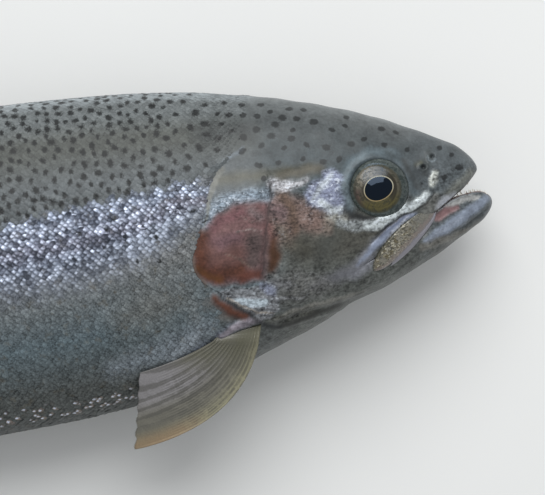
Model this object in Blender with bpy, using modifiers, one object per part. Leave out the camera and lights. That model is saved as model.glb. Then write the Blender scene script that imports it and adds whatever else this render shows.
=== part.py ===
"""Rainbow trout, life size, lying on its left flank: the parted solids of a museum model.

Places on the fish are (s, h, w), in millimetres of a fish 500 mm long to the tail fork:
  s  back from the tip of the snout
  h  up towards the back, from the level of the snout
  w  out towards the right flank, from the mid-plane
place() lays the fish down: +X is towards the head, +Y towards the back, +Z the right flank.
"""
import math

import bmesh
import bpy
import numpy as np
from mathutils import Matrix, Vector

# ---- driving dimensions, millimetres ----
FORK_LENGTH = 500.0
GAP = 0.3                   # between neighbouring solids
JAW_TIP = -3.7              # the lower jaw runs a little ahead of the snout
JAW_TIP_LEVEL = -12.8
JAW_JOINT = 64.0            # the parting between the lower jaw and the throat
SNOUT_ROUNDING = 8.0        # radius of the snout and chin, seen from the side and above
CHIN_ROUNDING = 6.0
EYE = (37.6, -2.6)          # middle of the eye on the flank of the head
EYE_RADIUS = 11.0
EYE_HALF_THICKNESS = 4.6
EYE_SUNK = 1.9              # the lens-shaped eye's middle lies this far under the skin
TRUNK_FRONT_END = 215.0     # where the dorsal fin starts
TRUNK_REAR_END = 338.0      # the vent
TAIL_STEM_END = 466.0       # root of the tail fin
NAPE = (92.0, -10.0)        # a point of the slanted parting behind the head
NAPE_SLANT = math.radians(9)
COVER_PROUD = 0.9           # gill covers and maxillae stand proud of the skin
COVER_DEPTH = 3.2
MAXILLA_DEPTH = 1.6
AROUND = 36                 # points round a section of the body
FIN_RAYS = 9                # faces across a fin
FIN_STEPS = 6               # faces from its root to its edge

MM = 0.001 * FORK_LENGTH / 500.0


def curve(*stations):
    """A smooth function through a few (place, value) stations, level beyond its ends."""
    at, value = np.array(stations, float).T
    slope = np.gradient(value, at)

    def read(x):
        x = np.clip(x, at[0], at[-1])
        i = np.clip(np.searchsorted(at, x, side="right") - 1, 0, len(at) - 2)
        span = at[i + 1] - at[i]
        t = (x - at[i]) / span
        ease = t * t * (3 - 2 * t)
        swing = slope[i] * t * (1 - t) ** 2 - slope[i + 1] * t * t * (1 - t)
        return value[i] * (1 - ease) + value[i + 1] * ease + swing * span

    return read


def path(*points):
    """A smooth line through (s, h) points, read from 0 at its start to 1 at its end."""
    points = np.array(points, float)
    run = np.concatenate(([0], np.cumsum(np.linalg.norm(np.diff(points, axis=0), axis=1))))
    run /= run[-1]
    along = curve(*zip(run, points[:, 0]))
    up = curve(*zip(run, points[:, 1]))
    return lambda t: np.array((along(t), up(t)))


def smooth(t):
    """0 to 1, starting and ending level."""
    t = np.clip(t, 0, 1)
    return t * t * (3 - 2 * t)


# ---- the outline of the body, side view and top view ----
BACK = curve((0, 5.6), (5, 8.6), (12, 12.6), (22, 18), (32.5, 23.2), (43, 27.6), (60, 33.4),
             (78, 38.4), (96, 42.4), (120, 45.7), (151, 47.8), (185, 48.8), (225, 48.5),
             (285, 43), (345, 32), (390, 22), (428, 12.2), (450, 12), (466, 14.5))
BELLY = curve((-4, -17), (2, -20), (9, -23.7), (17, -28.2), (26, -32.3), (42, -39), (53, -42.2),
              (64, -47.5), (77, -52.2), (86, -55.4), (100, -60.8), (115, -64.6), (137, -68),
              (187, -71.2), (225, -71.5), (265, -67.5), (300, -60), (345, -49.5),
              (390, -38.6), (430, -33), (450, -33.6), (466, -36.5))
HALF_WIDTH = curve((0, 7.5), (12, 13.2), (26, 17.4), (40, 21.2), (60, 25), (80, 27.5), (100, 29),
                   (150, 29.7), (225, 29.7), (285, 26.5), (345, 20), (385, 14), (430, 8.5),
                   (455, 5), (466, 1.8))
WIDEST = curve((0, -1.5), (12, -4), (26, -7), (40, -9), (60, -11), (90, -13.5), (150, -13),
               (225, -12), (345, -10), (466, -11))
FULLNESS = curve((0, 2), (40, 2.3), (100, 2.2), (250, 2.15), (466, 2))

# ---- the mouth ----
UPPER_LIP = curve((0, -2.6), (6, -6), (11.3, -9.2), (20, -14.5), (40, -25.5), (64, -37.5))
LIP_TURN = curve((0, 20), (20, 28), (40, 36), (64, 45))     # degrees round the section
PALATE_ARCH = curve((0, 0), (8, 3), (30, 6), (55, 4), (64, 0))
JAW_TOP = curve((-4, -9.6), (0, -9.2), (5, -9.3), (11, -10.4), (20, -15.5), (40, -26.5),
                (64, -38.5))
JAW_WIDTH = curve((-4, 7), (5, 9.4), (11, 11), (20, 12.8), (40, 17), (64, 18.8))
JAW_TROUGH = curve((-4, 0), (2, 0), (8, 3), (25, 5), (50, 4), (64, 0))

# ---- how the fish lies: the level of its mid-plane above the floor ----
LIE = curve((-10, 27.6), (60, 27.8), (100, 28), (150, 28.6), (225, 28.6), (285, 25.4),
            (345, 19), (385, 13.2), (430, 7.8), (455, 4.4), (468, 3), (485, 1.6), (505, 0.8),
            (530, 0.6))

# ---- gill covers and maxillae, as lines on the flank ----
COVER_FRONT = path((79, 14.7), (75.5, 5.4), (77, -0.4), (79, -8.2), (80.4, -15), (82.6, -22.4),
                   (84.3, -30.7), (82.4, -36.5), (77.5, -41), (72.2, -44.4))
COVER_REAR = path((86.8, 16.2), (95.1, 11.3), (98.5, 5.4), (101, -2.4), (104.1, -11.2),
                  (107.5, -18.5), (105.7, -25.3), (99.7, -31.2), (91.7, -38), (83.9, -43),
                  (76, -46.3))
MAXILLA_TOP = path((16.8, -7.7), (20.9, -9.9), (27.8, -12.9), (34.2, -17.5), (39.6, -22.4),
                   (44.4, -28.3))
MAXILLA_LOW = path((17.6, -10.9), (21.7, -17.5), (29.1, -23.5), (33.7, -27.2), (38.6, -31.2),
                   (43.4, -32.2))

# ---- colours ----
FLANK_SILVER = (0.36, 0.38, 0.42)
HEAD_GREY = (0.20, 0.22, 0.21)
CHEEK_RED = (0.32, 0.12, 0.09)
JAW_LAVENDER = (0.30, 0.32, 0.36)
FIN_OLIVE = (0.20, 0.19, 0.14)
IRIS_GOLD = (0.16, 0.14, 0.06)
MOUTH_PINK = (0.36, 0.20, 0.20)


def place(s, h, w):
    """Metres in the row's frame for a place on the fish."""
    return Vector((-s, h, w + LIE(s))) * MM


def rounding(ahead, radius):
    """A quarter circle that closes the outline towards a tip, for the distance behind it."""
    return math.sqrt(max(0.0, 1 - (1 - min(ahead / radius, 1)) ** 2))


def flank(s, h):
    """Half width of the closed body at a place on its side."""
    level = WIDEST(s)
    depth = BACK(s) - level if h > level else level - BELLY(s)
    power = FULLNESS(s)
    return HALF_WIDTH(s) * max(0.0, 1 - abs((h - level) / depth) ** power) ** (1 / power)


def swell(value, power):
    """Signed power, for superellipses."""
    return math.copysign(abs(value) ** (2 / power), value)


def body_ring(s, turn):
    """(h, w) round a section of the trunk; turn 0 is the back, 0.25 the right flank."""
    angle = math.tau * (0.25 - turn)
    level = WIDEST(s)
    rise = swell(math.sin(angle), FULLNESS(s))
    depth = BACK(s) - level if rise > 0 else level - BELLY(s)
    return level + depth * rise, HALF_WIDTH(s) * swell(math.cos(angle), FULLNESS(s))


def snout_ring(s, turn):
    """(h, w) round a section of the upper head, with the palate as its underside."""
    nose = rounding(s, SNOUT_ROUNDING)
    side = 1 if turn <= 0.5 else -1
    turn = 0.5 - abs(turn - 0.5)
    edge = 13 / AROUND                      # the share of the half turn above the lip
    lip_turn = math.radians(LIP_TURN(s))
    power = FULLNESS(s)
    level = WIDEST(s)
    lip = UPPER_LIP(s)
    low_depth = (level - lip) / math.sin(lip_turn) ** (2 / power)
    angle = math.pi / 2 - (math.pi / 2 + lip_turn) * min(turn / edge, 1)
    rise = swell(math.sin(angle), power)
    h = level + rise * (BACK(s) - level if rise > 0 else low_depth)
    w = HALF_WIDTH(s) * swell(math.cos(angle), power)
    if turn > edge:
        inward = (turn - edge) / (0.5 - edge)
        h = lip + PALATE_ARCH(s) * smooth((inward - 0.15) / 0.5)
        w *= 1 - inward
    return h * nose, side * w * nose


def head_ring(s, turn):
    """The upper head ahead of the jaw joint, the whole section behind it."""
    return snout_ring(s, turn) if s < JAW_JOINT else body_ring(s, turn)


def jaw_ring(s, turn):
    """(h, w) round a section of the lower jaw; turn 0 is the chin, 0.5 the mouth's floor."""
    chin = rounding(s - JAW_TIP, CHIN_ROUNDING)
    side = 1 if turn <= 0.5 else -1
    turn = 0.5 - abs(turn - 0.5)
    edge = 0.3                              # the share of the half turn below the lip
    top = JAW_TOP(s)
    angle = math.pi / 2 * (1 - min(turn / edge, 1))
    h = top - (top - BELLY(s)) * swell(math.sin(angle), 2.2)
    w = JAW_WIDTH(s) * swell(math.cos(angle), 2.2)
    if turn > edge:
        inward = (turn - edge) / (0.5 - edge)
        h = top - JAW_TROUGH(s) * smooth((inward - 0.15) / 0.45)
        w = JAW_WIDTH(s) * (1 - inward)
    return JAW_TIP_LEVEL + (h - JAW_TIP_LEVEL) * chin, side * w * chin


def tongue_ring(s, turn):
    """(h, w) round a section of the tongue, which lies in the jaw's trough."""
    tip = rounding(s - 6, 8) * rounding(48 - s, 8)
    floor = JAW_TOP(s) - JAW_TROUGH(s) + GAP
    angle = math.tau * turn
    half_height = 1.7
    h = floor + half_height + half_height * tip * math.sin(angle)
    return h, 0.36 * JAW_WIDTH(s) * tip * math.cos(angle)


# ---- making objects ----
def clear_scene():
    """Remove the objects of the default scene."""
    for stray in list(bpy.data.objects):
        bpy.data.objects.remove(stray, do_unlink=True)


def collection(name):
    """A new collection in the scene."""
    made = bpy.data.collections.new(name)
    bpy.context.scene.collection.children.link(made)
    return made


def material(name, colour, roughness=0.4, metallic=0.0):
    """A Principled material."""
    made = bpy.data.materials.new(name)
    made.use_nodes = True
    shader = made.node_tree.nodes["Principled BSDF"]
    shader.inputs["Base Color"].default_value = (*colour, 1)
    shader.inputs["Roughness"].default_value = roughness
    shader.inputs["Metallic"].default_value = metallic
    return made


def finish_mesh(shape, name, owner, look=None):
    """An object from a bmesh, in a collection, riding on the trout's empty."""
    bmesh.ops.recalc_face_normals(shape, faces=shape.faces)
    mesh = bpy.data.meshes.new(name)
    shape.to_mesh(mesh)
    shape.free()
    mesh.shade_smooth()
    mesh.set_sharp_from_angle(angle=math.radians(40))
    made = bpy.data.objects.new(name, mesh)
    owner.objects.link(made)
    made.parent = TROUT
    if look:
        mesh.materials.append(look)
    return made


def cutter(shape, name):
    """A hidden object that only shapes others."""
    made = finish_mesh(shape, name, CUTTERS)
    made.hide_render = True
    made.display_type = "WIRE"
    return made


def cut(target, *tools):
    """Take the tools' space out of the target."""
    for tool in tools:
        modifier = target.modifiers.new("cut " + tool.name, "BOOLEAN")
        modifier.operation = "DIFFERENCE"
        modifier.object = tool


def bent_grid(across, along, point):
    """A grid of faces whose point at (x, y), each from 0 to 1, is moved to point(x, y)."""
    shape = bmesh.new()
    bmesh.ops.create_grid(shape, x_segments=across, y_segments=along, size=0.5)
    for vert in shape.verts:
        vert.co = place(*point(vert.co.x + 0.5, vert.co.y + 0.5))
    return shape


def loft(name, stations, ring, look, around=AROUND):
    """A closed body: a grid rolled round its sections and closed at both ends."""
    last = len(stations) - 1

    def point(x, y):
        s = stations[round(y * last)]
        return (s, *ring(s, x % 1))

    shape = bent_grid(around, last, point)
    bmesh.ops.remove_doubles(shape, verts=shape.verts, dist=0.01 * MM)
    bmesh.ops.holes_fill(shape, edges=shape.edges)
    return finish_mesh(shape, name, PARTS, look)


def plate(across, along, outline, inner, outer, side, grow=0.0):
    """A curved plate let into the flank, between two depths beside the skin.

    outline(x, y) gives (s, h); grow moves its rim outwards in the side view.
    """
    def spot(x, y):
        here = np.array(outline(x, y))
        if grow and (x in (0, 1) or y in (0, 1)):
            step = 0.02
            edge = np.array(outline(min(x + step, 1), y)) - outline(max(x - step, 0), y)
            rise = np.array(outline(x, min(y + step, 1))) - outline(x, max(y - step, 0))
            push = (x - 0.5) * (x in (0, 1)) * edge / np.linalg.norm(edge)
            push = push + (y - 0.5) * (y in (0, 1)) * rise / np.linalg.norm(rise)
            here = here + 2 * grow * push
        return here

    def point(x, y):
        s, h = spot(round(x, 4), round(y, 4))
        return s, h, side * (flank(s, h) + inner)

    shape = bent_grid(across, along, point)
    lifted = bmesh.ops.extrude_face_region(shape, geom=shape.faces[:])["geom"]
    lifted = [piece for piece in lifted if isinstance(piece, bmesh.types.BMVert)]
    bmesh.ops.translate(shape, vec=(0, 0, side * (outer - inner) * MM), verts=lifted)
    return shape


def between(one, other):
    """An outline stretched from one line to another."""
    return lambda x, y: one(y) * (1 - x) + other(y) * x


def half_space(name, ahead):
    """Everything ahead of, or behind, the slanted parting at the nape."""
    size = 300 * MM
    shape = bmesh.new()
    bmesh.ops.create_cube(shape, size=size)
    shift = (size - GAP * MM) / 2 * (1 if ahead else -1)
    bmesh.ops.translate(shape, vec=(shift, 0, 0), verts=shape.verts)
    bmesh.ops.rotate(shape, matrix=Matrix.Rotation(NAPE_SLANT, 3, "Z"), verts=shape.verts)
    bmesh.ops.translate(shape, vec=(-NAPE[0] * MM, NAPE[1] * MM, 0), verts=shape.verts)
    return cutter(shape, name)


def floor_block():
    """The space under the floor that the fish lies on."""
    shape = bmesh.new()
    bmesh.ops.create_cube(shape, size=1)
    bmesh.ops.scale(shape, vec=(0.8, 0.5, 0.05), verts=shape.verts)
    bmesh.ops.translate(shape, vec=(-0.25, 0, -0.025), verts=shape.verts)
    return cutter(shape, "under_the_floor")


def eye_shape(side, grow=0.0):
    """A lens-shaped eyeball, turned a little forwards and upwards."""
    shape = bmesh.new()
    bmesh.ops.create_uvsphere(shape, u_segments=18, v_segments=10, radius=1)
    radius = (EYE_RADIUS + grow) * MM
    depth = (EYE_HALF_THICKNESS + grow) * MM
    bmesh.ops.scale(shape, vec=(radius, radius, depth), verts=shape.verts)
    turn = Matrix.Rotation(side * math.radians(9), 3, "Y") @ Matrix.Rotation(
        -side * math.radians(3), 3, "X")
    bmesh.ops.rotate(shape, matrix=turn, verts=shape.verts)
    bmesh.ops.translate(shape, vec=place(*EYE, side * (flank(*EYE) - EYE_SUNK)), verts=shape.verts)
    return shape


def bezier(points, t):
    """A quadratic Bezier curve."""
    root, bend, tip = (np.array(p, float) for p in points)
    return root * (1 - t) ** 2 + 2 * bend * t * (1 - t) + tip * t * t


def fin(name, lead, trail, thick, droop, side=0, notch=0.0, outline=None, laid=False,
        share=(0, 1)):
    """A fin: rays fan from the root, from the leading edge to the trailing edge.

    lead and trail are (root, bend, tip) in (s, h); thick is the thickness at the root and at
    the edge; droop(u, v) moves it in w, at u along the ray and v across the fin. A paired
    fin springs from the flank of its side, and a laid one comes down to the floor. notch
    draws in the middle of the outer edge; outline(s) is the h that a median root follows;
    share is the part of the way across that this piece covers.
    """
    def point(x, u):
        v = share[0] + (share[1] - share[0]) * x
        reach = u * (1 - notch * math.sin(math.pi * v) ** 1.3)
        s, h = bezier(lead, reach) * (1 - v) + bezier(trail, reach) * v
        root_s, root_h = bezier(lead, 0) * (1 - v) + bezier(trail, 0) * v
        w = droop(u, v)
        if outline:
            h += (outline(root_s) - root_h) * (1 - u)
        if side:
            w += side * (flank(root_s, root_h) + GAP + thick[0] / 2)
        if laid:
            w += (thick[1] * 0.6 - LIE(s) - w) * smooth(1.6 * u)
        return s, h, w

    made = finish_mesh(bent_grid(FIN_RAYS, FIN_STEPS, point), name, PARTS, LOOKS["fin"])
    thickness = made.vertex_groups.new(name="thickness")
    root, edge = thick
    for i in range(len(made.data.vertices)):
        u = i // (FIN_RAYS + 1) / FIN_STEPS
        thickness.add([i], (edge + (root - edge) * (1 - u) ** 2) / root, "REPLACE")
    solid = made.modifiers.new("solid", "SOLIDIFY")
    solid.thickness = root * MM
    solid.offset = 0
    solid.vertex_group = "thickness"
    return made


# ---- the sub-parts ----
def build_head():
    """The upper head and throat, with room for the eyes, maxillae and gill covers."""
    snout = [0, 0.5, 1.6, 3.4, 6, 10, 15, 20, 26, 32, 38, 44, 50, 57]
    stations = [*snout, JAW_JOINT - GAP / 2, JAW_JOINT + GAP / 2, 70, 77, 85, 93, 101, 110]
    head = loft("head", stations, head_ring, LOOKS["head"])
    cut(head, half_space("behind_the_nape", ahead=False))
    return head


def build_lower_jaw():
    """The lower jaw, with its trough, and the tongue in it."""
    stations = [JAW_TIP, JAW_TIP + 0.5, JAW_TIP + 1.6, JAW_TIP + 3.4, 3, 7, 12, 18, 25, 33, 41,
                49, 57, JAW_JOINT - 1.5 * GAP]
    jaw = loft("lower_jaw", stations, jaw_ring, LOOKS["jaw"], around=30)
    tongue = [6, 7, 9, 13, 20, 28, 36, 43, 46, 48]
    loft("tongue", tongue, tongue_ring, LOOKS["mouth"], around=12)
    return jaw


def build_trunk():
    """The trunk in two lengths, and the stem of the tail."""
    front = loft("trunk_front", [72, 80, 88, 96, 106, 120, 140, 165, 190,
                                 TRUNK_FRONT_END - GAP / 2], body_ring, LOOKS["flank"])
    cut(front, half_space("ahead_of_the_nape", ahead=True))
    rear = loft("trunk_rear", [TRUNK_FRONT_END + GAP / 2, 235, 255, 275, 295, 316,
                               TRUNK_REAR_END - GAP / 2], body_ring, LOOKS["flank"])
    stem = loft("tail_stem", [TRUNK_REAR_END + GAP / 2, 360, 382, 405, 428, 442, 454, 461,
                              TAIL_STEM_END - GAP / 2], body_ring, LOOKS["flank"])
    return front, rear, stem


def build_sides(head, jaw, trunk):
    """Eyes, maxillae and gill covers of both sides, each let into its neighbours."""
    covers = []
    for side, word in ((1, "right"), (-1, "left")):
        finish_mesh(eye_shape(side), "eye_" + word, PARTS, LOOKS["eye"])
        cut(head, cutter(eye_shape(side, GAP), "eye_socket_" + word))

        cover = between(COVER_FRONT, COVER_REAR)
        shape = plate(5, 12, cover, -COVER_DEPTH, COVER_PROUD, side)
        covers.append(finish_mesh(shape, "gill_cover_" + word, PARTS, LOOKS["cover"]))
        pocket = plate(5, 12, cover, -COVER_DEPTH - GAP, 8, side, grow=GAP)
        pocket = cutter(pocket, "gill_cover_pocket_" + word)
        cut(head, pocket)
        cut(trunk, pocket)

        maxilla = between(MAXILLA_TOP, MAXILLA_LOW)
        shape = plate(3, 10, maxilla, -MAXILLA_DEPTH, COVER_PROUD, side)
        finish_mesh(shape, "maxilla_" + word, PARTS, LOOKS["jaw"])
        pocket = plate(3, 10, maxilla, -MAXILLA_DEPTH - GAP, 8, side, grow=GAP)
        pocket = cutter(pocket, "maxilla_pocket_" + word)
        cut(head, pocket)
        cut(jaw, pocket)
    return covers


def build_median_fins():
    """Dorsal, adipose and anal fins, drooping a little, and the two lobes of the tail."""
    def above(s):
        return BACK(s) + GAP

    def below(s):
        return BELLY(s) - GAP

    fin("dorsal_fin", ((216, above(216)), (229, 80), (253, 96)),
        ((275, above(275)), (284, 53), (297, 60)), (3.6, 1.0),
        lambda u, v: -6 * u * u, notch=0.05, outline=above)
    fin("adipose_fin", ((376, above(376)), (389, 37), (400, 37)),
        ((387, above(387)), (393, 25), (401, 32)), (3.2, 1.6),
        lambda u, v: -u * u, outline=above)
    fin("anal_fin", ((341, below(341)), (349, -78), (370, -92)),
        ((386, below(386)), (394, -45), (404, -52)), (3.2, 1.0),
        lambda u, v: -3 * u * u, notch=0.06, outline=below)
    root = TAIL_STEM_END + GAP / 2
    half_gap = 0.003                        # of the way across, between the tail's lobes
    return [fin("tail_fin_" + word, ((root, BACK(root)), (488, 25), (525, 44)),
                ((root, BELLY(root)), (488, -47), (525, -66)), (3.4, 1.0),
                lambda u, v: 0.0, notch=0.30, share=share)
            for word, share in (("upper", (0, 0.5 - half_gap)), ("lower", (0.5 + half_gap, 1)))]


def build_paired_fins():
    """Pectoral and pelvic fins: the right ones stand off the flank, the left ones lie under it."""
    fin("pectoral_fin_right", ((86.8, -44.5), (94.5, -79), (138.5, -82.8)),
        ((102.2, -46.8), (115.3, -53), (132.4, -55.3)), (4.4, 1.0),
        lambda u, v: -1.5 * u - (7 - 6 * v) * u * u, side=1)
    fin("pelvic_fin_right", ((257, -64), (272, -80), (299, -87)),
        ((270, -63.4), (286, -67), (303, -71)), (3.2, 1.0),
        lambda u, v: -3 * u - 4 * u * u, side=1)
    fin("pelvic_fin_left", ((257, -64), (272, -78), (298, -84)),
        ((270, -63.4), (286, -66.5), (302, -69)), (3.2, 1.0),
        lambda u, v: -4 * u - 2 * u * u, side=-1)
    return fin("pectoral_fin_left", ((88, -46.5), (103, -62), (147, -65)),
               ((101.5, -47.5), (122, -50), (150, -52)), (3.6, 1.0),
               lambda u, v: 0.0, side=-1, laid=True)


def stand_on_floor():
    """Bring the middle of the underside of the whole to the origin."""
    bpy.context.view_layer.update()
    graph = bpy.context.evaluated_depsgraph_get()
    corners = []
    for node in (each for each in PARTS.objects if each.type == "MESH"):
        evaluated = node.evaluated_get(graph)
        corners += [evaluated.matrix_world @ vert.co for vert in evaluated.data.vertices]
    corners = np.array(corners)
    low = corners.min(axis=0)
    high = corners.max(axis=0)
    TROUT.location = (-(low[0] + high[0]) / 2, -(low[1] + high[1]) / 2, -low[2])


def build():
    """The whole trout."""
    head = build_head()
    jaw = build_lower_jaw()
    front, rear, stem = build_trunk()
    covers = build_sides(head, jaw, front)
    tail_lobes = build_median_fins()
    left_pectoral = build_paired_fins()
    floor = floor_block()
    for resting in (head, front, rear, stem, *tail_lobes, left_pectoral, covers[1]):
        cut(resting, floor)
    stand_on_floor()


clear_scene()
PARTS = collection("rainbow_trout")
CUTTERS = collection("cutters")
TROUT = bpy.data.objects.new("trout", None)
PARTS.objects.link(TROUT)
LOOKS = {
    "head": material("head skin", HEAD_GREY, 0.35),
    "jaw": material("jaw skin", JAW_LAVENDER, 0.35),
    "mouth": material("mouth lining", MOUTH_PINK, 0.3),
    "cover": material("gill cover", CHEEK_RED, 0.3, 0.2),
    "flank": material("scaled flank", FLANK_SILVER, 0.3, 0.4),
    "fin": material("fin membrane", FIN_OLIVE, 0.4),
    "eye": material("eye", IRIS_GOLD, 0.05),
}
build()
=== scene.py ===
"""Rainbow trout, life size, lying on its left flank: skin, scales, fins, eyes and mouth.

Places on the fish are (s, h, w), in millimetres:
  s  back from the tip of the snout
  h  up towards the back, from the level of the snout
  w  out towards the right flank, from the mid-plane
place() lays the fish down on the frame: +X is towards the head, +Y towards the back.
Markings are painted by strokes along lines and patches on the flank, the same ones on skin,
scales and gill covers; some strokes are painted shade and painted highlights.
"""
import math

import bmesh
import bpy
import numpy as np
from mathutils import Matrix, Vector, kdtree


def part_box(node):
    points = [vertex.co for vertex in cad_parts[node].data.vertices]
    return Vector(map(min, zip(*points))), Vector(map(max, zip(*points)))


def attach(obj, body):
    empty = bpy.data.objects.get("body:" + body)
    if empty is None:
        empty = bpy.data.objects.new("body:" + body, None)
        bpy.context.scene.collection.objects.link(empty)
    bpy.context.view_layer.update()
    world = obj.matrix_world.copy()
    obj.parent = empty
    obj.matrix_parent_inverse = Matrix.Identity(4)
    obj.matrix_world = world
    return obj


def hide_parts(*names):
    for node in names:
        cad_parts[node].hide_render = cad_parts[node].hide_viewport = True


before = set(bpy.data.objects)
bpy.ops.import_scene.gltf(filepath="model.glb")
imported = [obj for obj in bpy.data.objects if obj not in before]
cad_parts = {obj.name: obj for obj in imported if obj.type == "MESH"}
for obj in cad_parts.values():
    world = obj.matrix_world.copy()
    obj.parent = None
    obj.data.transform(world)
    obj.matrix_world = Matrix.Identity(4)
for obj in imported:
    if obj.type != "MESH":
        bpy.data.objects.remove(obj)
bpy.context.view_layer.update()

MM = 0.001
SEED = 7
SIDES = ((1, "right"), (-1, "left"))

# ---- driving dimensions, millimetres ----
JAW_TIP = -3.7              # the lower jaw runs a little ahead of the snout
JAW_TIP_LEVEL = -12.8
MOUTH_CORNER = 46.0         # behind it the lips are joined
JAW_RUN = 18.0              # in this length behind it the jaw's shape becomes the body's
SNOUT_ROUNDING = 8.0
CHIN_ROUNDING = 6.0
EYE = (37.6, -2.6)
EYE_RADIUS = 11.0
EYE_HALF_THICKNESS = 4.6
EYE_SUNK = 1.9
EYE_FORWARDS = 6            # degrees that the eye is turned forwards, and upwards
EYE_UPWARDS = 3
SOCKET_RADIUS = 10.3
SOCKET_DEPTH = 4.2
PLATE = 1.3                 # thickness of the gill covers and the upper jaw bones
BODY_END = 476.0            # where the flesh has run out into the tail fin
COAT = 0.4                  # the skin lies this far inside where scales cover it
FLATTENED = 0.35 * MM       # below this level the flank is flattened by the floor
FLATTENED_TO = 0.15         # to this share of its depth
SCALES_FROM = 74
SCALE_LENGTH = 2.3          # from one scale to the next in its row
SCALE_ROW = 1.15            # from one row to the next, half a scale out of step
SCALE_CROWN = 0.16          # how far the middle of a scale stands out of its edges
PEARLY = 0.22               # share of the scales along the pearl rows that are bright


# ---- curves ----
def curve(*stations):
    """A smooth function through a few (place, value) stations, level beyond its ends."""
    at, value = np.array(stations, float).T
    slope = np.gradient(value, at)

    def read(x):
        x = np.clip(x, at[0], at[-1])
        i = np.clip(np.searchsorted(at, x, side="right") - 1, 0, len(at) - 2)
        span = at[i + 1] - at[i]
        t = (x - at[i]) / span
        ease = t * t * (3 - 2 * t)
        swing = slope[i] * t * (1 - t) ** 2 - slope[i + 1] * t * t * (1 - t)
        return value[i] * (1 - ease) + value[i + 1] * ease + swing * span

    return read


def path(*points):
    """A smooth line through (s, h) points, read from 0 at its start to 1 at its end."""
    points = np.array(points, float)
    run = np.concatenate(([0], np.cumsum(np.linalg.norm(np.diff(points, axis=0), axis=1))))
    run /= run[-1]
    along = curve(*zip(run, points[:, 0]))
    up = curve(*zip(run, points[:, 1]))
    return lambda t: np.array((along(t), up(t)))


def smooth(t):
    """0 to 1, starting and ending level."""
    t = np.clip(t, 0, 1)
    return t * t * (3 - 2 * t)


def blend(one, other, share):
    """From one to the other as share goes from 0 to 1."""
    return one + (other - one) * share


def hill(off, width):
    """1 on a line, falling softly to 0 within about twice the width off it."""
    return np.exp(-(off / width) ** 2)


# ---- the outline of the body, side view and top view ----
BACK = curve((0, 5.6), (5, 8.6), (12, 12.6), (22, 18), (32.5, 23.2), (43, 27.6), (60, 33.4),
             (78, 38.4), (96, 42.4), (120, 45.7), (151, 47.8), (185, 48.8), (225, 48.5),
             (285, 43), (345, 32), (390, 22), (428, 12.2), (450, 12), (466, 14.5), (476, 17.5))
BELLY = curve((-4, -17), (2, -20), (9, -23.7), (17, -28.2), (26, -32.3), (42, -39), (53, -42.2),
              (64, -47.5), (77, -52.2), (86, -55.4), (100, -60.8), (115, -64.6), (137, -68),
              (187, -71.2), (225, -71.5), (265, -67.5), (300, -60), (345, -49.5),
              (390, -38.6), (430, -33), (450, -33.6), (466, -36.5), (476, -39.5))
HALF_WIDTH = curve((0, 7.5), (12, 13.2), (26, 17.4), (40, 21.2), (60, 25), (80, 27.5), (100, 29),
                   (150, 29.7), (225, 29.7), (285, 26.5), (345, 20), (385, 14), (430, 8.5),
                   (455, 5), (466, 2.6), (476, 1))
WIDEST = curve((0, -1.5), (12, -4), (26, -7), (40, -9), (60, -11), (90, -13.5), (150, -13),
               (225, -12), (345, -10), (466, -11))
FULLNESS = curve((0, 2), (40, 2.3), (100, 2.2), (250, 2.15), (466, 2))

# ---- the mouth ----
UPPER_LIP = curve((0, -2.6), (6, -6), (11.3, -9.2), (20, -14.5), (40, -25.5), (64, -37.5))
LIP_TURN = curve((0, 20), (20, 28), (40, 36), (64, 45))     # degrees round the section
PALATE_ARCH = curve((0, 0), (8, 3), (28, 5), (40, 2.5), (46, 0))
JAW_TOP = curve((-4, -9.6), (0, -9.2), (5, -9.3), (11, -10.4), (20, -15.5), (40, -26.5),
                (64, -38.5))
JAW_WIDTH = curve((-4, 7), (5, 9.4), (11, 11), (20, 12.8), (40, 17), (64, 18.8))
JAW_TROUGH = curve((-4, 0), (2, 0), (8, 3), (25, 5), (38, 3), (46, 0))

# ---- how the fish lies: the level of its mid-plane above the floor ----
LIE = curve((-10, 27.6), (60, 27.8), (100, 28), (150, 28.6), (225, 28.6), (285, 25.4),
            (345, 19), (385, 13.2), (430, 7.8), (455, 4.4), (468, 3), (485, 1.6), (505, 0.8),
            (530, 0.6))

# ---- lines on the head ----
COVER_FRONT = path((79, 14.7), (75.5, 5.4), (77, -0.4), (79, -8.2), (80.4, -15), (82.6, -22.4),
                   (84.3, -30.7), (82.4, -36.5), (77.5, -41), (72.2, -44.4))
COVER_REAR = path((86.8, 16.2), (95.1, 11.3), (98.5, 5.4), (101, -2.4), (104.1, -11.2),
                  (107.5, -18.5), (105.7, -25.3), (99.7, -31.2), (91.7, -38), (83.9, -43),
                  (76, -46.3))
MAXILLA_TOP = path((18.6, -9.8), (22.5, -12.2), (28.4, -15.2), (32.8, -18), (37.4, -21.8),
                   (41, -25.6), (44.2, -29.2))
MAXILLA_LOW = path((17.4, -13.2), (18.6, -16.6), (21, -19.4), (24.3, -22.4), (28.5, -26),
                   (33, -29.4), (38.5, -32.4), (42.6, -33))
SHOULDER = curve((-72, 84), (-62, 90), (-56, 96), (-50, 102), (-44, 103), (-38, 101.5),
                 (-32, 100.5), (-27, 104.4), (-21.5, 107.6), (-15.5, 107.4), (-11, 105.2), (-6, 102.7),
                 (-1, 100.5), (5, 98), (10, 96), (20, 86.5), (32, 82), (46, 76))
UNDER_EYE = ((53.4, -12.8), (49.1, -14.3), (43.7, -15.2), (40, -15), (36.1, -13.9), (30.6, -11.6),
             (26.3, -10.5), (22.5, -9.2), (20.6, -7))
BEFORE_EYE = ((16.1, 0.4), (17, -1.9), (18, -3.9))
OVER_MAXILLA = ((17.6, -7.2), (21.1, -10.8), (26.6, -12.6), (30.8, -13.4), (34.9, -15.8),
                (39.4, -18.4), (43, -21.6))
MAXILLA_FOLD = ((26, -13.4), (31, -15.2), (35.2, -17.8), (39.7, -20.9), (43.1, -23.6), (46, -26.2),
                (49, -28.8))
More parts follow.
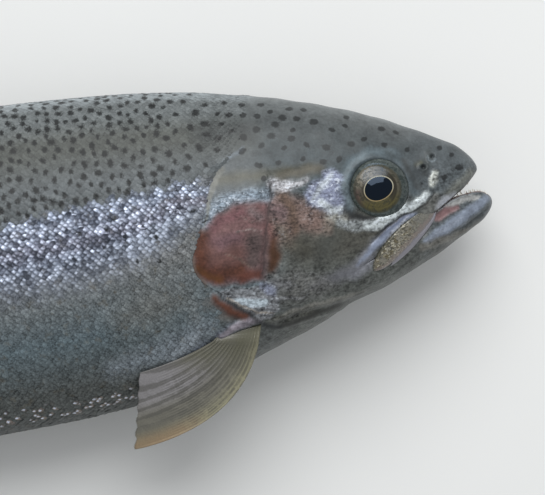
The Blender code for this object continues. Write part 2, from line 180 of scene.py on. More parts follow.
LOW_CHEEK = ((45, -26.4), (48.5, -29.2), (53, -31), (59, -32), (66.1, -33.6))
JAW_LIP = ((-1.5, -11.9), (1.5, -13.4), (4.8, -15.2), (8.5, -17), (12, -18.9), (15, -20.3),
           (18.4, -21.6), (23, -23.6))
GUM_LINE = ((1.5, -10.6), (5, -10.4), (8, -11.2), (11, -11.8), (13.5, -12.8))
MOUTH_WEB = ((9.8, -13), (13.5, -14.2), (17.4, -15.7))
JAW_CREASE = ((0.9, -16.4), (4, -18.4), (8.2, -20.4), (12.4, -22), (16.7, -23.4), (20.1, -24.6),
              (24.5, -26.4), (30, -29.6), (37, -33.8))
JAW_SEAM = ((7.6, -21.9), (13.5, -23.8), (19.2, -24.6), (24.5, -26))
THROAT_RIDGE = ((48, -38.2), (53, -39.2), (60.5, -40.1), (68, -40.7), (75.6, -41.8), (81.4, -43.5))
GILL_SKIN = ((101.8, -32.6), (99.9, -35.3), (96.2, -38.4), (91.6, -41))
COVER_LOW_EDGE = ((100.5, -30.5), (97.3, -34.2), (92.6, -38.2), (87.9, -42.7), (84.9, -45.2),
                  (79.5, -47.2))
FIN_FOLD = ((86.5, -43.2), (90, -43), (93.7, -43.6), (97.7, -45), (101.8, -47))
NAPE_LINE = ((83.9, 19.2), (87.2, 17.1), (91.1, 15.5), (95.6, 12.8), (97.6, 9.3))
NOSTRILS = ((16.3, 6.4, 0.85), (20.2, 3.0, 0.95))       # s, h and radius of the holes
# under each gill cover the skin is sunk, well inside the cover's rim
COVER_PIT = ((80.5, 1.5), (86, 6), (94, 5.5), (98, -2), (101, -10), (104, -18.5), (102.5, -24),
             (97, -29.5), (90, -35), (86.5, -32), (86, -22), (83.5, -12))


# ---- the frame ----
def origin_of_places():
    """Where s = 0 and h = 0 are in the frame, in millimetres, from the right eye's box."""
    low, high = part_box("eye_right")
    middle = (low + high) / 2 / MM
    return middle.x + EYE[0], middle.y - EYE[1]


AHEAD, ASIDE = origin_of_places()


def place(s, h, w):
    """Metres in the frame for places on the fish, one row for each."""
    s, h, w = np.broadcast_arrays(s, h, w)
    return np.stack((AHEAD - s, ASIDE + h, w + LIE(s)), axis=-1) * MM


def points_of(mesh):
    """A mesh's points in metres, one row for each."""
    at = np.empty(len(mesh.vertices) * 3)
    mesh.vertices.foreach_get("co", at)
    return at.reshape(-1, 3)


def places_of(mesh):
    """(s, h, w) of a mesh's points."""
    x, y, z = points_of(mesh).T / MM
    s = AHEAD - x
    return s, y - ASIDE, z - LIE(s)


# ---- the surface of the body ----
def rounding(ahead, radius):
    """A quarter circle that closes the outline towards a tip, for the distance behind it."""
    return np.sqrt(np.maximum(0, 1 - (1 - np.clip(ahead / radius, 0, 1)) ** 2))


def swell(value, power):
    """Signed power, for superellipses."""
    return np.copysign(np.abs(value) ** (2 / power), value)


def flank(s, h):
    """Half width of the closed body at places on its side."""
    level = WIDEST(s)
    depth = np.where(h > level, BACK(s) - level, level - BELLY(s))
    power = FULLNESS(s)
    return HALF_WIDTH(s) * np.maximum(0, 1 - np.abs((h - level) / depth) ** power) ** (1 / power)


def upper_section(s, t):
    """(h, w) on the right from the back, at t = 0, to the line of the mouth, at t = 1."""
    lip_turn = np.radians(LIP_TURN(s))
    power = FULLNESS(s)
    level = WIDEST(s)
    angle = math.pi / 2 - (math.pi / 2 + lip_turn) * t
    rise = swell(np.sin(angle), power)
    to_lip = (level - UPPER_LIP(s)) / np.sin(lip_turn) ** (2 / power)
    low_depth = blend(to_lip, level - BELLY(s), smooth((s - MOUTH_CORNER) / JAW_RUN))
    h = level + rise * np.where(rise > 0, BACK(s) - level, low_depth)
    w = HALF_WIDTH(s) * swell(np.cos(angle), power)
    nose = rounding(s, SNOUT_ROUNDING)
    return h * nose, w * nose


def lower_section(s, t):
    """(h, w) on the right from the line of the mouth, at t = 0, to the chin or belly."""
    joined = smooth((s - MOUTH_CORNER + 6) / 6)
    lip_h, lip_w = upper_section(s, 1.0)
    top = blend(JAW_TOP(s), lip_h, joined)
    turn = math.pi / 2 * t
    jaw_h = top - (top - BELLY(s)) * swell(np.sin(turn), 2.2)
    jaw_w = blend(JAW_WIDTH(s), lip_w, joined) * swell(np.cos(turn), 2.2)
    level = WIDEST(s)
    power = FULLNESS(s)
    lip_turn = np.radians(LIP_TURN(s))
    angle = lip_turn + (math.pi / 2 - lip_turn) * t
    body_h = level - (level - BELLY(s)) * swell(np.sin(angle), power)
    body_w = HALF_WIDTH(s) * swell(np.cos(angle), power)
    behind = smooth((s - MOUTH_CORNER) / JAW_RUN)
    chin = rounding(s - JAW_TIP, CHIN_ROUNDING)
    h = blend(jaw_h, body_h, behind)
    w = blend(jaw_w, body_w, behind)
    return JAW_TIP_LEVEL + (h - JAW_TIP_LEVEL) * chin, w * chin


def palate(s, inward):
    """(h, w) inside the mouth from the upper lip, at 0, to the middle, at 1."""
    h, w = upper_section(s, 1.0)
    nose = rounding(s, SNOUT_ROUNDING)
    arch = PALATE_ARCH(s) * smooth((inward - 0.12) / 0.5)
    gum = 0.5 * np.sin(math.pi * np.clip(inward / 0.12, 0, 1)) * (s < MOUTH_CORNER - 2)
    return h + (arch - gum) * nose, w * (1 - inward)


def mouth_floor(s, inward):
    """(h, w) inside the mouth from the lower lip, over the gum, to the middle."""
    h, w = lower_section(s, 0.0)
    chin = rounding(s - JAW_TIP, CHIN_ROUNDING)
    gum = np.sin(math.pi * np.clip(inward / 0.22, 0, 1)) * smooth((MOUTH_CORNER - s) / 12)
    dip = JAW_TROUGH(s) * smooth((inward - 0.2) / 0.4)
    return h + (0.7 * gum - dip) * chin, w * (1 - inward)


def outwards(s, h, w):
    """The direction out of the body's section, (in h, in w), of length 1."""
    level = WIDEST(s)
    power = FULLNESS(s) - 1
    depth = np.where(h > level, BACK(s) - level, level - BELLY(s))
    up = np.copysign(np.abs((h - level) / depth) ** power, h - level) / depth
    out = np.copysign(np.abs(w / HALF_WIDTH(s)) ** power, w) / HALF_WIDTH(s)
    length = np.maximum(np.hypot(up, out), 1e-9)
    return up / length, out / length


# ---- strokes and patches on the flank ----
def near(line, s, h):
    """How far places are from a line of (s, h) points, and how far along it, 0 to 1."""
    line = np.array(line, float)
    best = np.hypot(s - line[0, 0], h - line[0, 1])
    along = np.zeros(np.shape(s))
    lengths = np.linalg.norm(np.diff(line, axis=0), axis=1)
    runs = np.concatenate(([0], np.cumsum(lengths)))
    for start, end, length, run in zip(line, line[1:], lengths, runs):
        step = end - start
        t = np.clip(((s - start[0]) * step[0] + (h - start[1]) * step[1]) / length ** 2, 0, 1)
        gap = np.hypot(s - start[0] - t * step[0], h - start[1] - t * step[1])
        closer = gap < best
        best = np.where(closer, gap, best)
        along = np.where(closer, (run + t * length) / runs[-1], along)
    return best, along


def stroke(s, h, line, radius, soft):
    """1 along a line, 0 beyond its radius, which may change from end to end."""
    gap, along = near(line, s, h)
    radius = np.atleast_1d(radius)
    reach = np.interp(along, np.linspace(0, 1, len(radius)), radius)
    return smooth((reach + soft - gap) / (2 * soft))


def patch(s, h, outline, soft):
    """1 inside a closed outline of (s, h) points, 0 outside it."""
    closed = [*outline, outline[0]]
    gap, _ = near(closed, s, h)
    inside = np.zeros(np.shape(s), bool)
    for (s0, h0), (s1, h1) in zip(closed, closed[1:]):
        crosses = (h0 > h) != (h1 > h)
        inside ^= crosses & (s < s0 + (h - h0) * (s1 - s0) / (h1 - h0 + 1e-9))
    return smooth((soft + np.where(inside, gap, -gap)) / (2 * soft))


def along(line, count=24):
    """Points on a path, as a line for strokes."""
    return [tuple(line(t)) for t in np.linspace(0, 1, count)]


def waver(s, h, size=1.0):
    """Places moved a little to and fro, so that what is painted there has uneven edges."""
    ds = np.sin(0.9 * h + 0.35 * s) + 0.6 * np.sin(2.1 * s - 1.3 * h + 1) + 0.4 * np.sin(
        4.3 * h + 2.9 * s)
    dh = np.sin(0.8 * s - 0.3 * h + 2) + 0.6 * np.sin(1.9 * h + 1.1 * s) + 0.4 * np.sin(
        4.7 * s - 2.3 * h)
    return s + 0.45 * size * ds, h + 0.45 * size * dh


# ---- relief of the skin ----
RIDGES = (                  # line, radius, softness, height
    (UNDER_EYE, (2.4, 2.2, 1.9, 1.8, 1.8, 1.8, 1.8, 1.5, 1.0), 1.0, 0.35),
    (BEFORE_EYE, (1.2, 1.5, 1.0), 0.7, 0.35),
    (OVER_MAXILLA, (0.1, 0.2, 0.2), 0.6, -0.45),
    (MAXILLA_FOLD, (0.6, 1.1, 1.3, 1.4), 0.7, 0.4),
    (LOW_CHEEK, (1.5, 3, 3), 2.0, 0.35),
    (JAW_LIP, (1.9, 2.1, 1.7), 1.0, 0.55),
    (JAW_CREASE, 0.2, 0.8, -0.35),
    (MOUTH_WEB, (0.7, 1.2, 1.2), 0.7, -0.5),
    (JAW_SEAM, 0.8, 0.6, 0.35),
    (THROAT_RIDGE, 0.7, 0.7, 0.6),
    (((55, -43.5), (64, -44.2), (73, -45.6), (80, -47)), 0.6, 0.7, 0.4),
    (((52, -41.2), (62, -42.2), (72, -43.4), (81, -45.2)), 0.2, 0.6, -0.5),
    (GILL_SKIN, (1.2, 1.5, 1.0), 0.9, 0.7),
    (FIN_FOLD, (0.7, 1.5, 1.6, 1.2, 0.6), 0.8, 1.4),
    (NAPE_LINE, 0.5, 0.7, 0.35),
    (((99, 7.4), (90, 8.2), (80, 8.0), (70, 8.2), (60, 8.8)), 0.3, 1.4, -0.35),
    (((73.4, 4), (74.6, -2), (76.2, -9), (77.6, -15), (79.6, -22.4), (81, -30)), 1.1, 1.3, 0.15),
    (((66, -30), (58, -26), (50, -20.5), (46, -15)), 0.4, 1.4, -0.25),
    (((56, -3.5), (66, -7), (73, -14)), 0.4, 1.6, -0.2),
    (((10.5, 9.5), (14, 9.8), (18, 8.6)), 0.5, 1.2, 0.25),
    (((3.5, -1.5), (8, -4.6), (13, -7), (16.5, -8.4)), 1.0, 0.8, 0.35),
    (((5, 0.6), (9.5, -2.4), (14, -4.6)), 0.3, 0.9, -0.3),
)


def scaled_share(s, h):
    """0 on the bare head and throat, 1 where scales cover the skin."""
    return smooth((s - SHOULDER(h)) / 5)


def relief(s, h):
    """How far the bare skin stands out of the plain surface at places on either flank."""
    rise = -COAT * scaled_share(s, h)
    for line, radius, soft, height in RIDGES:
        rise = rise + height * stroke(s, h, line, radius, soft)
    off_eye = np.hypot(s - EYE[0], (h - EYE[1]) * np.where(h < EYE[1], 1.08, 1.0))
    rise += 0.3 * hill(off_eye - 11.8, 1.3) - 0.1 * hill(off_eye - 13.6, 1.0)
    rise -= SOCKET_DEPTH * smooth((SOCKET_RADIUS + 0.6 - off_eye) / 1.6)
    front, down = near(along(COVER_FRONT)[1:], s, h)
    rise -= 0.4 * hill(front, 0.4) * smooth((0.72 - down) / 0.15)
    rise -= 1.6 * patch(s, h, COVER_PIT, 1.0)
    bed = patch(s, h, along(MAXILLA_TOP, 12)[2:] + along(MAXILLA_LOW, 12)[:1:-1], 0.6)
    rise -= 0.45 * bed
    for hole_s, hole_h, hole in NOSTRILS:
        off_hole = np.hypot((s - hole_s) / 1.2, h - hole_h) / hole
        rise += 0.35 * hill(off_hole - 1.35, 0.4)
        rise -= 1.1 * smooth((1.1 - off_hole) / 0.8)
    rise += 0.8 * hill(s - 17.7, 0.5) * hill(h - 5.4, 1.3)      # the flap between them
    bone = np.sin(0.42 * s + 0.2 * h) * np.sin(0.33 * h - 0.12 * s + 1)
    return rise + 0.12 * bone * smooth((96 - s) / 20)


def raised(s, h, w, rise):
    """A place on the plain surface moved out of it."""
    up, out = outwards(s, h, w)
    return s, h + up * rise, w + out * rise


def skin_place(s, h, w, flat=0.0):
    """A place on the plain surface brought to the real skin; flat 1 keeps it as it is."""
    return raised(s, h, w, relief(s, h) * (1 - flat))


# ---- colours ----
def tint(red, green, blue):
    """Linear light from the usual 0 to 255."""
    value = np.array((red, green, blue)) / 255
    return np.where(value < 0.04045, value / 12.92, ((value + 0.055) / 1.055) ** 2.4)


# the next two back colours are a painted highlight along the top edge of back and head
BACK_RIM_HIGHLIGHT = tint(150, 158, 162)
BACK_RIM_SHEEN = tint(103, 108, 109)
BACK_DEEP = tint(73, 76, 73)
BACK_GREY = tint(87, 92, 94)
FLANK = tint(112, 114, 114)
FLANK_LOW = tint(90, 103, 109)
# the belly colour is darkened as painted shade
BELLY_SHADED_GREY = tint(83, 87, 86)
CROWN = tint(84, 88, 89)
TEMPLE = tint(61, 67, 69)
BROW = tint(70, 79, 83)
THROAT = tint(84, 87, 84)
CHEEK = tint(74, 73, 67)
SNOUT = tint(78, 84, 87)
SILVER = tint(132, 142, 162)
BRIGHT = tint(176, 186, 204)
PINK = tint(128, 110, 122)
DUSKY = tint(84, 70, 72)
LILAC = tint(134, 140, 160)
WHITE = tint(190, 198, 200)
ROSE = tint(106, 78, 78)
RUST = tint(73, 46, 30)
OLIVE = tint(86, 84, 72)
INK = tint(34, 36, 38)
SPOT_GREY = tint(20, 22, 23)
PEARL = tint(124, 114, 106)
GUM = tint(152, 153, 152)
MOUTH_PINK = tint(106, 76, 72)
LIP = tint(129, 138, 153)

STRIPE_TOP = curve((97, 10.5), (116, 8.8), (131, 7.6), (146, 6.6), (162, 5), (177, 3), (230, 1),
                   (300, -1), (380, -5), (450, -8), (472, -10))
STRIPE_LOW = curve((97, 0), (104, -6), (112, -13), (124, -18), (143, -23), (180, -25), (230, -24),
                   (300, -21), (380, -18), (450, -15.5), (472, -13))
STRIPE_CORE = ((104, 1), (140, -5), (200, -9), (330, -10), (466, -12))
STRIPE_ROW = ((104, -0.6), (111, -2.8), (121, -8), (128, -12), (136, -12.5))
DUSKY_LONG = ((103, 1.6), (119, 2.2), (131, 2.8), (160, 0), (300, -3))
DUSKY_FRONT = ((101, 3), (106, 3.6), (112, 4.4))
PEARLS = ((118, -61), (135, -62.5), (150, -64.5), (170, -65), (215, -65), (280, -58), (330, -48))
RED_COVER = ((78.6, -1.8), (86, -0.2), (90.3, -0.8), (96.3, -3.8), (99.6, -7), (102.3, -9.5),
             (104.6, -13), (107, -16.5), (107.4, -21.8), (105.6, -25.8), (100.5, -28.2),
             (90.3, -28.8), (83, -28.4), (80.2, -18.2), (78.4, -10.1))
BEHIND_EYE = ((49.3, 3.8), (52.5, 6.6), (56.9, 6.6), (56.7, 3.8), (61.4, 3), (64.4, -0.6),
              (63.6, -4.6), (59.1, -6.3), (55.8, -9.1), (51.6, -8.8), (49.7, -5.4), (50.4, -0.6))
BLUSH_CHEEK = ((77.5, 1), (71.1, 1), (66.2, -1.6), (61, -5), (57.2, -10), (57.2, -15.4),
               (62, -15), (67.1, -13), (72, -17), (79, -18), (80, -10))
LOW_PLATE = ((100, -30.3), (94.9, -30.2), (84.7, -31), (79.5, -34), (79, -40), (83, -43.2),
             (87.6, -42.3), (92.6, -38), (97.3, -34))
SPARKLING_CHEEK = ((84, -26), (77, -27.5), (70, -27), (61, -31), (57, -35), (64, -38), (73, -38.5),
                   (80, -38.5))


def between(one, other, share):
    """A line part of the way from one line to another of as many points."""
    return [tuple(blend(np.array(a), np.array(b), share)) for a, b in zip(one, other)]


PLATE_HIGH = ((98.6, -30.9), (93, -32), (86, -33), (78, -34.6), (69, -36))
PLATE_DEEP = ((95.6, -35), (91.4, -38), (86, -40.4), (80, -41.4), (72, -41))

PAINT = (                   # colour, line or patch, radius (None for a patch), softness, share, shine
    # nape, cheek and the bone before the gill cover
    (OLIVE, ((99, 8.6), (90, 9), (80, 8.6), (70, 8.6), (60, 9)), (2, 2, 2, 1.2, 0.4), 2.2, 0.7, 0),
    (tint(60, 64, 65), ((82, 26), (96, 26)), 4, 5, 0.8, 0),
    (tint(76, 71, 58), ((72, 7.2), (64, 7.6), (58, 8)), 1.8, 1.8, 0.8, 0),
    (CHEEK, ((46, -17), (56, -18), (66, -17)), 8, 5, 0.85, 0.24),
    (tint(68, 71, 68), ((57, -17), (61, -23)), 3, 4, 0.65, 0.12),
    (tint(103, 104, 110), LOW_CHEEK, (1.2, 2.4, 2.2, 1.8, 1), 2.2, 0.85, 0.1),
    (tint(93, 93, 92), SPARKLING_CHEEK, None, 2.6, 0.7, 0.5),
    (tint(106, 107, 111), ((82, -30.6), (75, -31.6)), 1.4, 1.8, 0.6, 0.7),
    (tint(108, 89, 83), BLUSH_CHEEK, None, 2.4, 0.85, 0.5),
    (tint(114, 106, 98), ((57.4, -10), (58.2, -14)), 1.5, 1.8, 0.75, 0.5),
    (tint(62, 61, 54), ((69.5, -17.8), (66.5, -20.8)), 2.0, 2.4, 0.75, 0.12),
    (tint(94, 78, 80), ((78.4, -3.4), (73, -6)), 2.6, 1.5, 0.75, 0.4),
    (tint(84, 68, 57), ((72, 0.6), (69.6, -5), (69.5, -13)), (2.0, 1.5), 1.4, 0.8, 0.3),
    (tint(92, 87, 78), ((74.5, -12), (72.5, -18)), 2, 1.5, 0.6, 0.5),
    (tint(118, 82, 76), ((79, -10.5), (78.4, -13.4)), 1.7, 1.4, 0.7, 0.3),
    (RUST, ((78.4, -15.6), (78.4, -20.7), (80, -25.2)), (1.6, 2.6, 1.8), 1.7, 0.95, 0.12),
    (tint(62, 41, 26), ((78.4, -19), (79.2, -23.6)), 1.4, 1.6, 0.7, 0.1),
    (tint(150, 150, 154), ((75, 4.6), (71, 3.4), (66.5, 3.2), (62.8, 4.4)), (2.1, 1.9, 1.0, 0.7), 1.0,
     0.9, 0.9),
    # round the eye and before it
    (tint(120, 126, 147), BEHIND_EYE, None, 1.1, 0.95, 1),
    (WHITE, ((51.8, -7.4), (55.2, -7.9), (59, -4)), 1.0, 0.9, 0.8, 1),
    (WHITE, ((61.6, -2.6), (57.8, 1.4), (53.5, 5)), 0.8, 0.9, 0.55, 1),
    (tint(86, 98, 104), ((24.5, -5), (25.5, 3), (30, 9), (38, 11.4), (46, 8.4), (50, 0), (49, -8)),
     1.6, 1.6, 0.85, 0.15),
    (tint(58, 64, 66), ((25, 2), (27.5, 6.5), (33, 10)), 0.8, 1.0, 0.7, 0),
    (tint(58, 60, 60), ((26.8, 5.8), (24.6, -1), (23.6, -4)), 1.5, 1.4, 0.75, 0),
    (tint(58, 62, 61), ((17.6, 7.6), (19.2, 3.4), (20.2, 0.6)), 1.5, 1.6, 0.65, 0),
    (tint(84, 84, 60), ((22.6, 4.2), (20.6, 4.6)), 0.7, 0.9, 0.6, 0.1),
    (tint(122, 122, 116), ((56, -9.8), (51.4, -12)), 1.3, 1.4, 0.8, 0.6),
    # dark line under the eye: painted shadow of the eye socket's lower rim
    (INK, ((50.6, -8), (48.9, -11), (45, -12.6), (39.6, -13.2), (33.9, -12), (26.4, -8.9)),
     (0.8, 1.7, 1.3, 0.5, 0.1), 0.7, 0.88, 0),
    (tint(62, 66, 68), ((22, 6), (23, 3.4), (22.6, 0)), 1.2, 1.2, 0.5, 0),
    (tint(126, 131, 132), UNDER_EYE, (1.4, 2.0, 1.8, 2.2, 2.4, 1.9, 1.6, 1.5, 1), 0.8, 0.9, 0.8),
    (WHITE, UNDER_EYE[2:], (1.3, 1.9, 2.0, 1.7, 1.6, 1.4, 1), 0.9, 0.9, 1),
    (tint(172, 176, 170), BEFORE_EYE, (1.0, 1.4, 1.0), 0.8, 0.95, 0.7),
    # upper jaw and lip
    (tint(122, 124, 131), ((41.6, -21.6), (44.6, -25.6), (47.4, -29.4), (51, -32)),
     (1.2, 2.6, 2.8, 1.6), 1.9, 0.85, 0.15),
    (tint(138, 148, 169), MAXILLA_FOLD, (0.5, 1.0, 1.5, 1.5, 0.9, 0.1), 1.1, 0.9, 0.1),
    (tint(74, 80, 100), ((27.6, -13.3), (31.4, -14.4), (35.6, -16.8), (40, -19.6)), (0.6, 1.0, 0.9, 0.3),
     0.8, 0.75, 0.1),
    # pale line along the fold's lower edge: a painted highlight
    (tint(172, 176, 186), [(s - 0.2, h + 0.8) for s, h in along(MAXILLA_TOP)[8:18]], (0.1, 0.5, 0.3),
     0.5, 0.95, 0.5),
    # dark line in the groove over the upper jaw: painted shade
    (INK, OVER_MAXILLA, (0.15, 0.4, 0.45, 0.4, 0.1), 0.45, 0.9, 0),
    (tint(112, 114, 108), ((3, -2), (8, -5.4), (12.5, -8.4)), 1.6, 1.5, 0.8, 0.2),
    (tint(168, 172, 180), ((10.4, -8.2), (13.5, -9.6), (17, -11.6)), (0.4, 1.2, 1.2), 1.0,
     0.85, 0.1),
    (tint(104, 104, 100), ((17, -9), (20, -12), (24, -16)), (1.6, 2.2, 1.6), 1.4, 0.7, 0.3),
    # lower jaw and throat
    (LIP, JAW_LIP, (1.2, 1.9, 2.2, 2.0, 1.0), 1.1, 0.95, 0.12),
    (tint(146, 154, 168), JAW_LIP[3:], (0.4, 0.7, 0.4), 0.9, 0.7, 0.25),
    (GUM, GUM_LINE, (0.7, 1.1, 1.1, 0.7), 0.5, 0.9, 0.2),
    (tint(124, 96, 97), MOUTH_WEB, (0.8, 1.5, 1.5), 0.6, 0.9, 0.1),
    (tint(86, 85, 80), ((3, -20.5), (10, -24.6), (20, -28.6)), (1.6, 2), 2.0, 0.6, 0.2),
    # dark line in the jaw's crease: painted shade
    (INK, JAW_CREASE, (0.1, 0.25, 0.05), 0.5, 0.6, 0),
    (tint(114, 112, 106), JAW_SEAM, (0.6, 1.2, 1.4, 1.4), 1.0, 0.75, 0.25),
    # pale line on the throat ridge: a painted highlight
    (tint(122, 121, 116), THROAT_RIDGE, (0.1, 0.6, 0.8, 0.7, 0.5), 0.8, 0.85, 0.12),
    (tint(66, 66, 60), ((84, -43.4), (77, -43.8), (68, -42.6)), 1.6, 1.5, 0.7, 0.5),
    # dark line along the crease under the ridge: painted shade
    (tint(50, 50, 48), ((80.2, -46.5), (74.3, -45.9), (65.7, -43.5), (57.3, -42.1)), 0.8, 0.8,
     0.85, 0),
    # behind and under the gill cover, down to the pectoral fin
    (tint(100, 86, 74), ((104, -34), (101, -38.6), (97, -41)), 1.6, 2.4, 0.5, 0.1),
    (tint(86, 49, 34), GILL_SKIN, (1.1, 1.9, 1.5), 1.3, 0.95, 0.1),
    (tint(110, 106, 98), ((112, -32), (121, -33), (134, -36)), (3, 7, 4), 7, 0.45, 0.3),
    (tint(116, 120, 121), ((108.6, -35), (109, -39)), 1.5, 3, 0.75, 0.3),
    # paler blue-grey above the pectoral fin's root is a painted sheen; the next, paler stroke is painted
    # light that makes up for the fin's shadow
    (tint(124, 133, 141), ((107, -42.5), (114, -45.5), (124, -49.5), (141, -53)), (1.5, 3, 3, 2), 5,
     0.85, 0.35),
    (tint(142, 150, 158), ((108.5, -44.6), (114, -48.8), (120, -51.6)), (1, 1.8, 1), 2.5, 0.8, 0.35),
    (tint(104, 111, 124), ((95.2, -42.6), (102.4, -46), (105.6, -48.4), (109.6, -50.3), (116, -53.5)),
     (0.8, 1.5, 1.8, 1), 1.4, 0.7, 0.4),
    (tint(122, 116, 124), FIN_FOLD, (0.7, 1.5, 1.5, 1.2, 0.8), 0.8, 0.9, 0.2),
    (tint(66, 58, 64), ((103.2, -46.2), (100.7, -45.2), (97.4, -43.6)), 0.15, 0.5, 0.7, 0),
    # gill cover: silver top, rose middle with rust edges, and fine pale scratches
    (tint(126, 138, 150), NAPE_LINE, 0.3, 0.6, 0.6, 0.1),
    (tint(118, 130, 142), ((101.4, -6.6), (98, -2), (93, 1), (86, 1.6), (78, 1.2)),
     (1.2, 2.4, 2.4, 2.2), 1.7, 0.9, 0.9),
    (ROSE, RED_COVER, None, 1.8, 0.95, 0.17),
    (tint(102, 70, 74), ((98.6, -7.6), (95, -5.4), (88, -4)), 1.8, 1.8, 0.8, 0.22),
    (tint(98, 75, 83), ((102.6, -11.6), (97, -13.2), (91, -12.6)), 2, 2, 0.55, 0.25),
    (tint(80, 70, 69), ((84, -14), (86, -21)), 3.4, 2.6, 0.85, 0.25),
    (tint(100, 92, 93), ((84.4, -3.4), (81, -6.6)), 1.3, 1.6, 0.7, 0.5),
    (tint(82, 54, 46), ((102, -13), (101.5, -18.6), (96.5, -20.4), (91.5, -18)), 3, 3, 0.65, 0.12),
    (tint(76, 41, 24), ((103.6, -10.5), (105, -16.5), (104, -22.5), (97, -25), (91, -24)), 2.6,
     2.2, 0.85, 0.2),
    (tint(86, 52, 24), ((106.2, -21.5), (103.1, -24.6), (98.6, -26.4)), 1.3, 1.2, 0.85, 0),
    (tint(84, 46, 34), ((91, -27), (85, -26.4)), 1.6, 1.2, 0.8, 0.1),
    (tint(150, 144, 140), ((91.7, -10), (83.9, -10.7), (80.8, -11)), 0.1, 0.35, 0.6, 0.8),
    (tint(140, 130, 124), ((88.6, -5), (85, -7.4), (81.6, -7.8)), 0.1, 0.35, 0.5, 0.8),
    (tint(136, 128, 116), ((95, -17.4), (90.6, -20.6), (86.4, -24.4)), 0.1, 0.45, 0.4, 0.5),
    # gill cover: the sparkling plates under it, its rim, and painted shade along its seams and low edge
    (tint(118, 120, 124), LOW_PLATE, None, 0.5, 0.85, 0.9),
    (tint(60, 60, 60), between(PLATE_HIGH, PLATE_DEEP, 0.12), (0.15, 0.3, 0.1), 0.3, 0.6, 0),
    (tint(168, 170, 176), between(PLATE_HIGH, PLATE_DEEP, 0.26), (0.1, 0.3, 0.1), 0.35, 0.6, 0.9),
    (tint(56, 58, 60), between(PLATE_HIGH, PLATE_DEEP, 0.4), (0.1, 0.3, 0.3), 0.3, 0.6, 0),
    (tint(182, 195, 204), ((94.6, -34.8), (89.4, -36.2), (84.4, -37)), (0.7, 1.6, 1.3), 0.5, 0.95, 1),
    (tint(66, 68, 70), between(PLATE_HIGH, PLATE_DEEP, 0.86), (0.1, 0.2, 0.4), 0.3, 0.6, 0),
    (tint(160, 152, 142), ((97, -33.2), (92.4, -37.1), (87.4, -39.9), (81.6, -41.3)), 0.3, 0.4,
     0.8, 0.5),
    (LILAC, ((83.6, -31.4), (81, -33)), 1.6, 1, 0.9, 1),
    (tint(112, 113, 108), [(s - 1.2, h) for s, h in along(COVER_REAR)[2:9]], (1.2, 1.2, 1, 0.5, 0.1),
     0.6, 0.85, 0.1),
    (tint(98, 86, 78), along(COVER_REAR)[11:15], 0.5, 0.5, 0.7, 0.1),
    # dark lines along the cover's front seam: painted shade in the groove
    (INK, ((75.6, 5), (76.4, 1), (76.9, -1.8)), (0.4, 0.5, 0.2), 0.4, 0.9, 0),
    (tint(44, 38, 38), ((76.9, -1.3), (79.3, -9.4), (80.9, -17), (82.6, -23)), 0.4, 0.5, 0.75, 0),
    (INK, ((82.8, -24), (83.8, -29), (84, -32.7)), 0.35, 0.5, 0.8, 0),
    # dark line under the cover's lower edge: painted shade
    (INK, COVER_LOW_EDGE, (0.3, 0.7, 0.7, 0.9, 0.4), 0.6, 0.9, 0),
    # nostrils
    # the nostrils' dark holes are painted shade in the pits
    (INK, (NOSTRILS[0][:2],), 0.5, 0.45, 0.85, 0),
    (INK, (NOSTRILS[1][:2],), 0.6, 0.45, 0.95, 0),
    # pale edge of the flap between the nostrils: a painted highlight
    (tint(130, 140, 146), ((15.2, 5.4), (16.4, 4.7), (17.9, 5.4), (17.9, 7)), 0.25, 0.4, 0.7, 0.4),
)


def height_share(s, h):
    """0 at the belly and 1 at the back."""
    return (h - BELLY(s)) / (BACK(s) - BELLY(s))


def cover(colour, other, share):
    """Colours with another laid over them."""
    return blend(colour, other, share[..., None])


def shades(tall, *steps):
    """A colour that changes evenly from step to step of (colour, level) up the side."""
    levels = [level for _, level in steps]
    return np.stack([np.interp(tall, levels, [shade[c] for shade, _ in steps])
                     for c in range(3)], axis=-1)


def ground(s, h):
    """The plain colour of head and body, from belly to back: painted shade darkens the belly
    and a painted highlight lightens the top edge of back and head.
    """
    tall = height_share(s, h)
    body = shades(tall, (BELLY_SHADED_GREY, 0.1), (FLANK_LOW, 0.25), (FLANK, 0.45), (BACK_GREY, 0.62),
                  (BACK_GREY, 0.72), (BACK_DEEP, 0.82), (BACK_DEEP, 0.86), (BACK_RIM_SHEEN, 0.925),
                  (BACK_RIM_SHEEN, 0.96), (BACK_RIM_HIGHLIGHT, 1.0))
    head = shades(tall, (THROAT, 0.35), (BROW, 0.62), (TEMPLE, 0.8), (CROWN, 0.93),
                  (BACK_RIM_SHEEN, 1.0))
    head = cover(head, SNOUT, smooth((30 - s) / 16))
    return cover(head, body, smooth((s - 72) / 14))


def striped(s, h, colour, shine):
    """(colour, shine) with the stripe laid on: silver, a pink core, a bright row, a dusky edge."""
    s, h = waver(s, h, 1.8)
    band = smooth((STRIPE_TOP(s) - h + 1.6) / 3.6)
    band = band * smooth((h - STRIPE_LOW(s) + 4) / 20) * smooth((s - 95) / 4)
    colour = cover(colour, SILVER, 0.9 * band)
    core = stroke(s, h, STRIPE_CORE, (2, 3, 1.5), 4.5)
    colour = cover(colour, PINK, 0.35 * core * band)
    row = stroke(s, h, STRIPE_ROW, (1, 2.4, 3.6, 1.5), 3)
    colour = cover(colour, BRIGHT, 0.7 * row * band)
    dusky = 0.5 * stroke(s, h, DUSKY_LONG, (0.6, 1.1, 0.8), 1.2)
    dusky = np.maximum(dusky, stroke(s, h, DUSKY_FRONT, 1.2, 1.2))
    colour = cover(colour, DUSKY, 0.6 * dusky * band)
    return colour, blend(shine, 1.0 - 0.25 * dusky, band)


